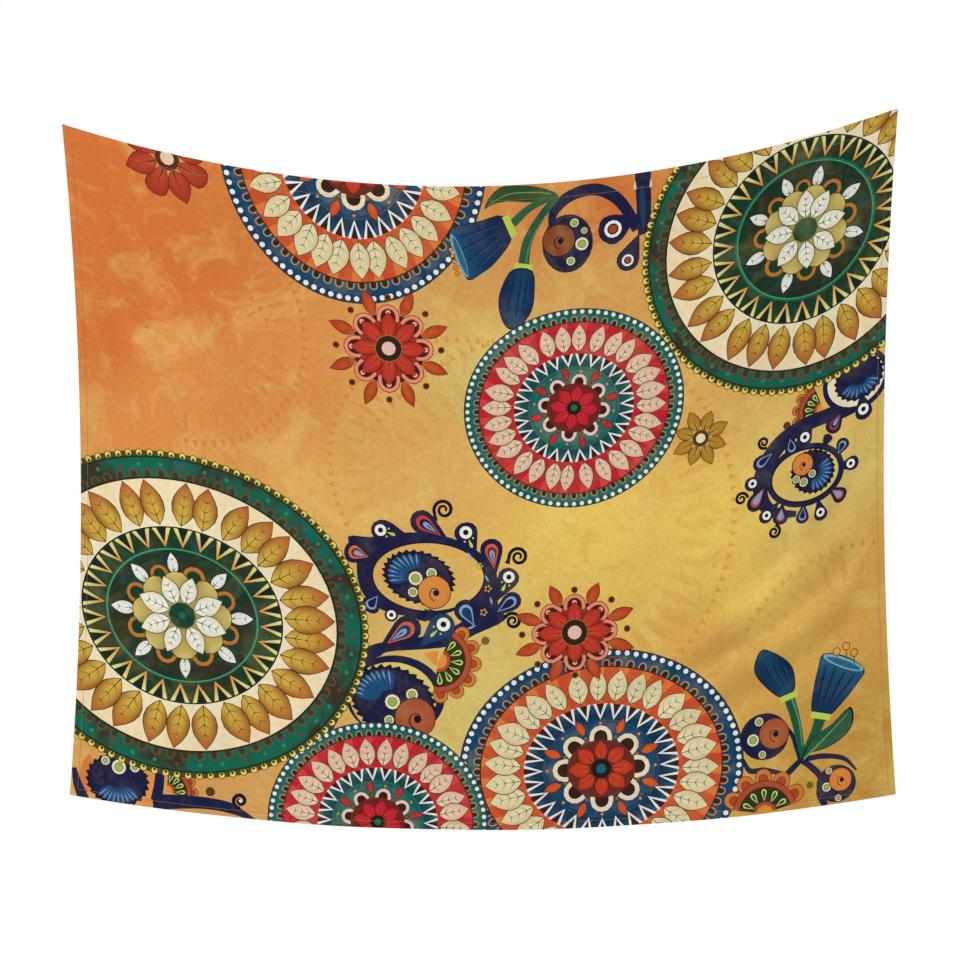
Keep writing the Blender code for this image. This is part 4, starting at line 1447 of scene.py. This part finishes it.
def woven_label(material):
    """A blank label that hangs from its sewn edge and curls a little off the cloth."""
    s = LEFT_SEAM + THREAD_DIAMETER / 2 + LABEL_TO_SEAM
    depth = HEM_BACK + LAYER_GAP + LABEL_THICKNESS / 2
    low = CLOTH_HEIGHT - LABEL_ABOVE_BOTTOM
    upper, lower = layer_point(s, low - LABEL_HEIGHT, depth), layer_point(s, low, depth)
    down = (lower - upper) / np.linalg.norm(lower - upper)
    across = np.array([-down[2], 0, down[0]])
    top = (upper + lower) / 2 - down * LABEL_HEIGHT / 2
    columns, rows = LABEL_GRID
    layers = []
    for offset in (-LABEL_THICKNESS / 2, LABEL_THICKNESS / 2):
        for j in range(rows + 1):
            for i in range(columns + 1):
                u, v = i / columns, j / rows
                lift = LABEL_CURL * u * u * (0.55 + 0.45 * math.cos(math.pi * (v - 0.15)))
                inset = 0.0006 * (abs(2 * v - 1) ** 12) * u
                place = top + down * LABEL_HEIGHT * v + across * (LABEL_WIDTH * u - inset - 0.0003 * u * u)
                layers.append(place + np.array([0, lift + offset, 0]))
    wide, layer = columns + 1, (columns + 1) * (rows + 1)
    faces = []
    for j in range(rows):
        for i in range(columns):
            a = j * wide + i
            faces.append((a, a + 1, a + wide + 1, a + wide))
            faces.append(tuple(layer + k for k in (a, a + wide, a + wide + 1, a + 1)))
    ring = [i for i in range(columns)] + [j * wide + columns for j in range(rows)]
    ring += [rows * wide + i for i in range(columns, 0, -1)] + [j * wide for j in range(rows, 0, -1)]
    for a, b in zip(ring, ring[1:] + ring[:1]):
        faces.append((a, layer + a, layer + b, b))
    return new_piece("woven_care_label", layers, faces, material)


# ---------------------------------------------------------------- materials
def new_material(name, roughness, sheen=0.0, specular=0.3):
    made = bpy.data.materials.new(name)
    made.use_nodes = True
    shader = made.node_tree.nodes["Principled BSDF"]
    shader.inputs["Roughness"].default_value = roughness
    shader.inputs["Sheen Weight"].default_value = sheen
    shader.inputs["Sheen Roughness"].default_value = 0.5
    shader.inputs["Specular IOR Level"].default_value = specular
    return made, made.node_tree, shader


def add_node(tree, kind, inputs=None, **settings):
    node = tree.nodes.new(kind)
    for key, value in settings.items():
        setattr(node, key, value)
    for key, value in (inputs or {}).items():
        if isinstance(value, bpy.types.NodeSocket):
            tree.links.new(value, node.inputs[key])
        else:
            node.inputs[key].default_value = value
    return node


def math_node(tree, operation, a, b=None, c=None, clamp=False):
    inputs = {i: v for i, v in enumerate((a, b, c)) if v is not None}
    return add_node(tree, "ShaderNodeMath", inputs, operation=operation, use_clamp=clamp).outputs[0]


def times(tree, a, b):
    return math_node(tree, "MULTIPLY", a, b)


def noise(tree, vector, scale, detail=3.0, roughness=0.55, distortion=0.0):
    inputs = {
        "Vector": vector, "Scale": scale, "Detail": detail, "Roughness": roughness,
        "Distortion": distortion,
    }
    return add_node(tree, "ShaderNodeTexNoise", inputs).outputs["Fac"]


def stretch(tree, value, low, high, to_low=0.0, to_high=1.0):
    inputs = {"Value": value, "From Min": low, "From Max": high, "To Min": to_low, "To Max": to_high}
    return add_node(tree, "ShaderNodeMapRange", inputs, clamp=True).outputs["Result"]


def mixed(tree, share, a, b, blend="MIX"):
    node = add_node(tree, "ShaderNodeMix", data_type="RGBA", blend_type=blend)
    for index, value in ((0, share), (6, a), (7, b)):
        if isinstance(value, bpy.types.NodeSocket):
            tree.links.new(value, node.inputs[index])
        elif index == 0:
            node.inputs[index].default_value = value
        else:
            node.inputs[index].default_value = (*value, 1)
    return node.outputs[2]


def weave_height(tree, vector, pitch, wobble=0.12, axes=(0, 1)):
    """Over-and-under of a plain weave along two axes of the given coordinates."""
    parts = add_node(tree, "ShaderNodeSeparateXYZ", {0: vector})
    turn = math.tau / pitch
    drift = noise(tree, vector, 260.0, 2.0)
    waves = []
    for axis in axes:
        angle = math_node(tree, "MULTIPLY_ADD", parts.outputs[axis], turn, times(tree, drift, wobble * 6))
        waves.append(math_node(tree, "SINE", angle))
    product = times(tree, waves[0], waves[1])
    return math_node(tree, "MULTIPLY_ADD", product, 0.5, 0.5)


def bump(tree, shader, height, strength, distance):
    node = add_node(tree, "ShaderNodeBump", {"Height": height, "Strength": strength, "Distance": distance})
    tree.links.new(node.outputs["Normal"], shader.inputs["Normal"])


def cloth_material():
    """Dye print on plain weave: watercolour mottling, dark stains in the green rings, fine threads; the
    weave also darkens the colour in its dips as painted shade and lightens it on the thread tops as painted
    highlight.
    """
    made, tree, shader = new_material("printed_cloth", 0.86, sheen=0.02, specular=0.12)
    place = add_node(tree, "ShaderNodeUVMap", uv_map="flat_cloth").outputs[0]
    dye = add_node(tree, "ShaderNodeVertexColor", layer_name="print")
    stained = math_node(tree, "SUBTRACT", dye.outputs["Alpha"], 1.0, clamp=True)
    strength = math_node(
        tree, "SUBTRACT", math_node(tree, "MINIMUM", dye.outputs["Alpha"], 1.0), stained, clamp=True,
    )
    strength = math_node(tree, "POWER", strength, 2.0)

    clouds = noise(tree, place, 9.0, 6.0, 0.62, 0.8)
    blots = noise(tree, place, 22.0, 5.0, 0.62, 1.2)
    grain = noise(tree, place, 120.0, 3.0, 0.6, 0.4)
    lift = times(tree, strength, stretch(tree, clouds, 0.50, 0.74))
    colour = mixed(tree, times(tree, lift, 0.42), dye.outputs["Color"], (0.86, 0.67, 0.21))
    warm = times(tree, strength, stretch(tree, blots, 0.52, 0.72))
    colour = mixed(tree, times(tree, warm, 0.34), colour, (0.66, 0.25, 0.045))
    olive = times(tree, strength, stretch(tree, noise(tree, place, 14.0, 4.0, 0.6, 1.0), 0.54, 0.74))
    colour = mixed(tree, times(tree, olive, 0.42), colour, (0.62, 0.52, 0.17))
    # random grain tone, later multiplied by the weave's painted shade and highlight
    grain_and_weave_shade = stretch(tree, grain, 0.3, 0.7, 0.93, 1.07)
    scratches = add_node(tree, "ShaderNodeMapping", {0: place}, vector_type="TEXTURE")
    scratches.inputs["Rotation"].default_value = (0, 0, 0.7)
    scratches.inputs["Scale"].default_value = (0.9, 0.05, 1.0)
    lines = stretch(tree, noise(tree, scratches.outputs[0], 9.0, 4.0, 0.7, 0.3), 0.60, 0.72)
    faint = times(tree, times(tree, lines, strength), 0.22)
    colour = mixed(tree, faint, colour, (0.42, 0.16, 0.04))

    stain = stretch(tree, noise(tree, place, 13.0, 3.0, 0.6, 0.8), 0.47, 0.62)
    stain = times(tree, stain, stained)
    colour = mixed(tree, times(tree, stain, 0.84), colour, (0.040, 0.012, 0.006))
    teal = stretch(tree, noise(tree, place, 26.0, 2.0, 0.5, 0.5), 0.55, 0.7)
    teal = times(tree, times(tree, teal, stained), math_node(tree, "SUBTRACT", 1.0, stain))
    colour = mixed(tree, times(tree, teal, 0.5), colour, (0.004, 0.13, 0.16))

    # the weave's height darkens the colour in its dips and lightens it on the thread tops: painted shade
    # and painted highlight
    threads = weave_height(tree, place, 0.0011)
    grain_and_weave_shade = times(tree, grain_and_weave_shade, stretch(tree, threads, 0.0, 1.0, 0.97, 1.02))
    grey = add_node(tree, "ShaderNodeCombineColor", {0: grain_and_weave_shade, 1: grain_and_weave_shade, 2: grain_and_weave_shade}).outputs[0]
    colour = mixed(tree, 1.0, colour, grey, "MULTIPLY")
    tree.links.new(colour, shader.inputs["Base Color"])
    rough = stretch(tree, blots, 0.3, 0.7, 0.76, 0.88)
    tree.links.new(rough, shader.inputs["Roughness"])
    height = math_node(tree, "MULTIPLY_ADD", blots, 0.6, threads)
    bump(tree, shader, height, 0.35, 0.00012)
    return made


def spun_material(name, colour, fibre_shade_and_dark_tone, pitch, roughness=0.6, sheen=0.15, strength=0.5, distance=0.0001):
    """Thread, cord or pale cloth: fine fibres over two close tones; the darker one is painted shade in the
    dips between fibres and also tints random darker patches.
    """
    made, tree, shader = new_material(name, roughness, sheen)
    place = add_node(tree, "ShaderNodeTexCoord").outputs["Object"]
    fibres = noise(tree, place, 1 / pitch, 4.0, 0.65, 0.3)
    tone = noise(tree, place, 18.0, 3.0)
    # painted shade: the fibres' low places take the darker colour, their high places the full colour
    colour = mixed(tree, stretch(tree, fibres, 0.35, 0.65), linear(fibre_shade_and_dark_tone), linear(colour))
    colour = mixed(tree, stretch(tree, tone, 0.3, 0.7, 0.0, 0.18), colour, linear(fibre_shade_and_dark_tone))
    tree.links.new(colour, shader.inputs["Base Color"])
    tree.links.new(
        stretch(tree, fibres, 0.2, 0.8, roughness - 0.06, roughness + 0.08), shader.inputs["Roughness"],
    )
    bump(tree, shader, fibres, strength, distance)
    return made


def hem_material():
    """The cloth's unprinted side: pale plain weave, darker in the weave's dips as painted shade and lighter
    on the thread tops as painted highlight.
    """
    made, tree, shader = new_material("hem_cloth", 0.88, sheen=0.03, specular=0.15)
    place = add_node(tree, "ShaderNodeTexCoord").outputs["Object"]
    threads = weave_height(tree, place, 0.0011, axes=(0, 2))
    tone = noise(tree, place, 26.0, 4.0)
    # the weave's height picks the colour: painted shade in its dips, painted highlight on the thread tops
    colour = mixed(tree, stretch(tree, threads, 0.0, 1.0), linear((204, 186, 156)), linear((226, 212, 186)))
    colour = mixed(tree, stretch(tree, tone, 0.35, 0.7, 0.0, 0.3), colour, linear((206, 186, 150)))
    tree.links.new(colour, shader.inputs["Base Color"])
    tree.links.new(stretch(tree, tone, 0.3, 0.7, 0.84, 0.92), shader.inputs["Roughness"])
    bump(tree, shader, threads, 0.4, 0.00012)
    return made


def label_material():
    """Satin weave with close cross ribs."""
    made, tree, shader = new_material("woven_label", 0.42, sheen=0.1, specular=0.5)
    place = add_node(tree, "ShaderNodeTexCoord").outputs["Object"]
    parts = add_node(tree, "ShaderNodeSeparateXYZ", {0: place})
    ribs = math_node(tree, "SINE", times(tree, parts.outputs[2], math.tau / 0.0009))
    ribs = stretch(tree, ribs, -1.0, 1.0)
    cloud = noise(tree, place, 300.0, 3.0)
    colour = mixed(tree, times(tree, ribs, 0.35), linear((236, 234, 228)), linear((206, 204, 198)))
    colour = mixed(tree, stretch(tree, cloud, 0.4, 0.7, 0.0, 0.2), colour, linear((190, 188, 184)))
    tree.links.new(colour, shader.inputs["Base Color"])
    bump(tree, shader, ribs, 0.4, 0.00008)
    return made


# ---------------------------------------------------------------- assembly
CLOTH = cloth_material()
HEM = hem_material()
# each spun material's second colour is the painted shade between its fibres, also used for random darker
# patches
THREAD = spun_material("sewing_thread", (206, 176, 124), (160, 124, 78), 0.0004, 0.5, 0.2)
CORD = spun_material("loop_cord", (226, 216, 194), (176, 160, 130), 0.0005, 0.65, 0.25)
LABEL = label_material()

cloth = printed_cloth(CLOTH)
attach(cloth, "cloth")
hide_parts("printed_panel")

between = (TOP_HEM + LAYER_GAP, CLOTH_HEIGHT - BOTTOM_HEM - LAYER_GAP)
right = CLOTH_WIDTH - SIDE_HEM
HEM_RUNS = {
    "top": (((0, 0), (CLOTH_WIDTH, 0)), ((0, TOP_HEM), (CLOTH_WIDTH, TOP_HEM))),
    "bottom": (
        ((CLOTH_WIDTH, CLOTH_HEIGHT), (0, CLOTH_HEIGHT)),
        ((CLOTH_WIDTH, CLOTH_HEIGHT - BOTTOM_HEM), (0, CLOTH_HEIGHT - BOTTOM_HEM)),
    ),
    "left": (((0, between[1]), (0, between[0])), ((SIDE_HEM, between[1]), (SIDE_HEM, between[0]))),
    "right": (
        ((CLOTH_WIDTH, between[0]), (CLOTH_WIDTH, between[1])), ((right, between[0]), (right, between[1])),
    ),
}
crossing = LAYER_GAP + THREAD_DIAMETER
SEAM_RUNS = {
    "top": ((LEFT_SEAM, TOP_SEAM), (RIGHT_SEAM, TOP_SEAM)),
    "bottom": ((LEFT_SEAM, BOTTOM_SEAM), (RIGHT_SEAM, BOTTOM_SEAM)),
    "left": ((LEFT_SEAM, TOP_SEAM + crossing), (LEFT_SEAM, BOTTOM_SEAM - crossing)),
    "right": ((RIGHT_SEAM, TOP_SEAM + crossing), (RIGHT_SEAM, BOTTOM_SEAM - crossing)),
}
for side, (edge_run, inner_run) in HEM_RUNS.items():
    hem = hem_strip(f"{side}_turned_hem", edge_run, inner_run, HEM)
    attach(hem, "cloth")
    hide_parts(f"{side}_hem")
    clear = LAYER_GAP * 0.5 + THREAD_DIAMETER / 2
    for face, depth, outwards in (("needle", -clear, -1), ("bobbin", HEM_BACK + clear, 1)):
        row = stitch_row(f"{side}_{face}_stitches", *SEAM_RUNS[side], depth, outwards, THREAD)
        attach(row, "cloth")
        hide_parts(f"{side}_hem_{face}_thread")

for hand, name in ((-1, "left"), (1, "right")):
    hook = hook_place(hand)
    loop = cord_loop(f"upper_{name}_cord_loop", hook, CORD)
    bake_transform(loop)
    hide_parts(f"upper_{name}_loop")
    tack = bar_tack(f"upper_{name}_tack_stitches", hook, THREAD)
    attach(tack, "cloth")
    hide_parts(f"upper_{name}_bar_tack")

label = woven_label(LABEL)
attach(label, "label")
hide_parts("care_label")

# ---------------------------------------------------------------- stage, light and camera
PICTURE_WIDTH = 1.6902
PICTURE_MIDDLE = -0.6278
CAMERA_DISTANCE = 8.0
SENSOR = 36.0
FLOOR_Z = -1.75
FLOOR_WIDTH = 4.2
WORLD_LIGHT = 0.56
LIGHTS = (  # name, place, size in metres, watts
    ("key", (-3.4, -1.5, 1.7), 1.2, 122),
    ("fill", (2.8, -3.4, -0.2), 2.4, 28),
    ("back", (1.5, 3.2, 1.2), 2.4, 50),
)


def studio():
    """A pale floor, a near-white world, three soft lights and the camera."""
    floor_mesh = bpy.data.meshes.new("studio_floor")
    corners = [(x, y, FLOOR_Z) for x, y in ((-1, -1), (1, -1), (1, 1), (-1, 1))]
    corners = [(x * FLOOR_WIDTH / 2, y * FLOOR_WIDTH / 2, z) for x, y, z in corners]
    floor_mesh.from_pydata(corners, [], [(0, 1, 2, 3)])
    paint, _, shader = new_material("studio_floor", 0.9)
    shader.inputs["Base Color"].default_value = (0.86, 0.86, 0.85, 1)
    floor_mesh.materials.append(paint)
    floor = bpy.data.objects.new("studio_floor", floor_mesh)
    bpy.context.scene.collection.objects.link(floor)

    world = bpy.data.worlds.new("studio")
    bpy.context.scene.world = world
    world.use_nodes = True
    tree = world.node_tree
    soft = tree.nodes["Background"]
    soft.inputs["Color"].default_value = (1, 1, 1, 1)
    soft.inputs["Strength"].default_value = WORLD_LIGHT
    white = add_node(tree, "ShaderNodeBackground", {"Color": (1, 1, 1, 1), "Strength": 1.0})
    path = add_node(tree, "ShaderNodeLightPath")
    chosen = add_node(
        tree, "ShaderNodeMixShader",
        {0: path.outputs["Is Camera Ray"], 1: soft.outputs[0], 2: white.outputs[0]},
    )
    tree.links.new(chosen.outputs[0], tree.nodes["World Output"].inputs["Surface"])

    for name, place, size, power in LIGHTS:
        data = bpy.data.lights.new(name, "AREA")
        data.energy, data.size = power, size
        light = bpy.data.objects.new(name, data)
        light.location = place
        aim = Vector((0, 0, PICTURE_MIDDLE)) - Vector(place)
        light.rotation_euler = aim.to_track_quat("-Z", "Y").to_euler()
        bpy.context.scene.collection.objects.link(light)

    data = bpy.data.cameras.new("camera")
    data.sensor_width = SENSOR
    data.lens = SENSOR * CAMERA_DISTANCE / PICTURE_WIDTH
    camera = bpy.data.objects.new("camera", data)
    camera.location = (0, -CAMERA_DISTANCE, PICTURE_MIDDLE)
    camera.rotation_euler = (math.pi / 2, 0, 0)
    bpy.context.scene.collection.objects.link(camera)
    bpy.context.scene.camera = camera
    bpy.context.scene.view_settings.view_transform = "Standard"


studio()
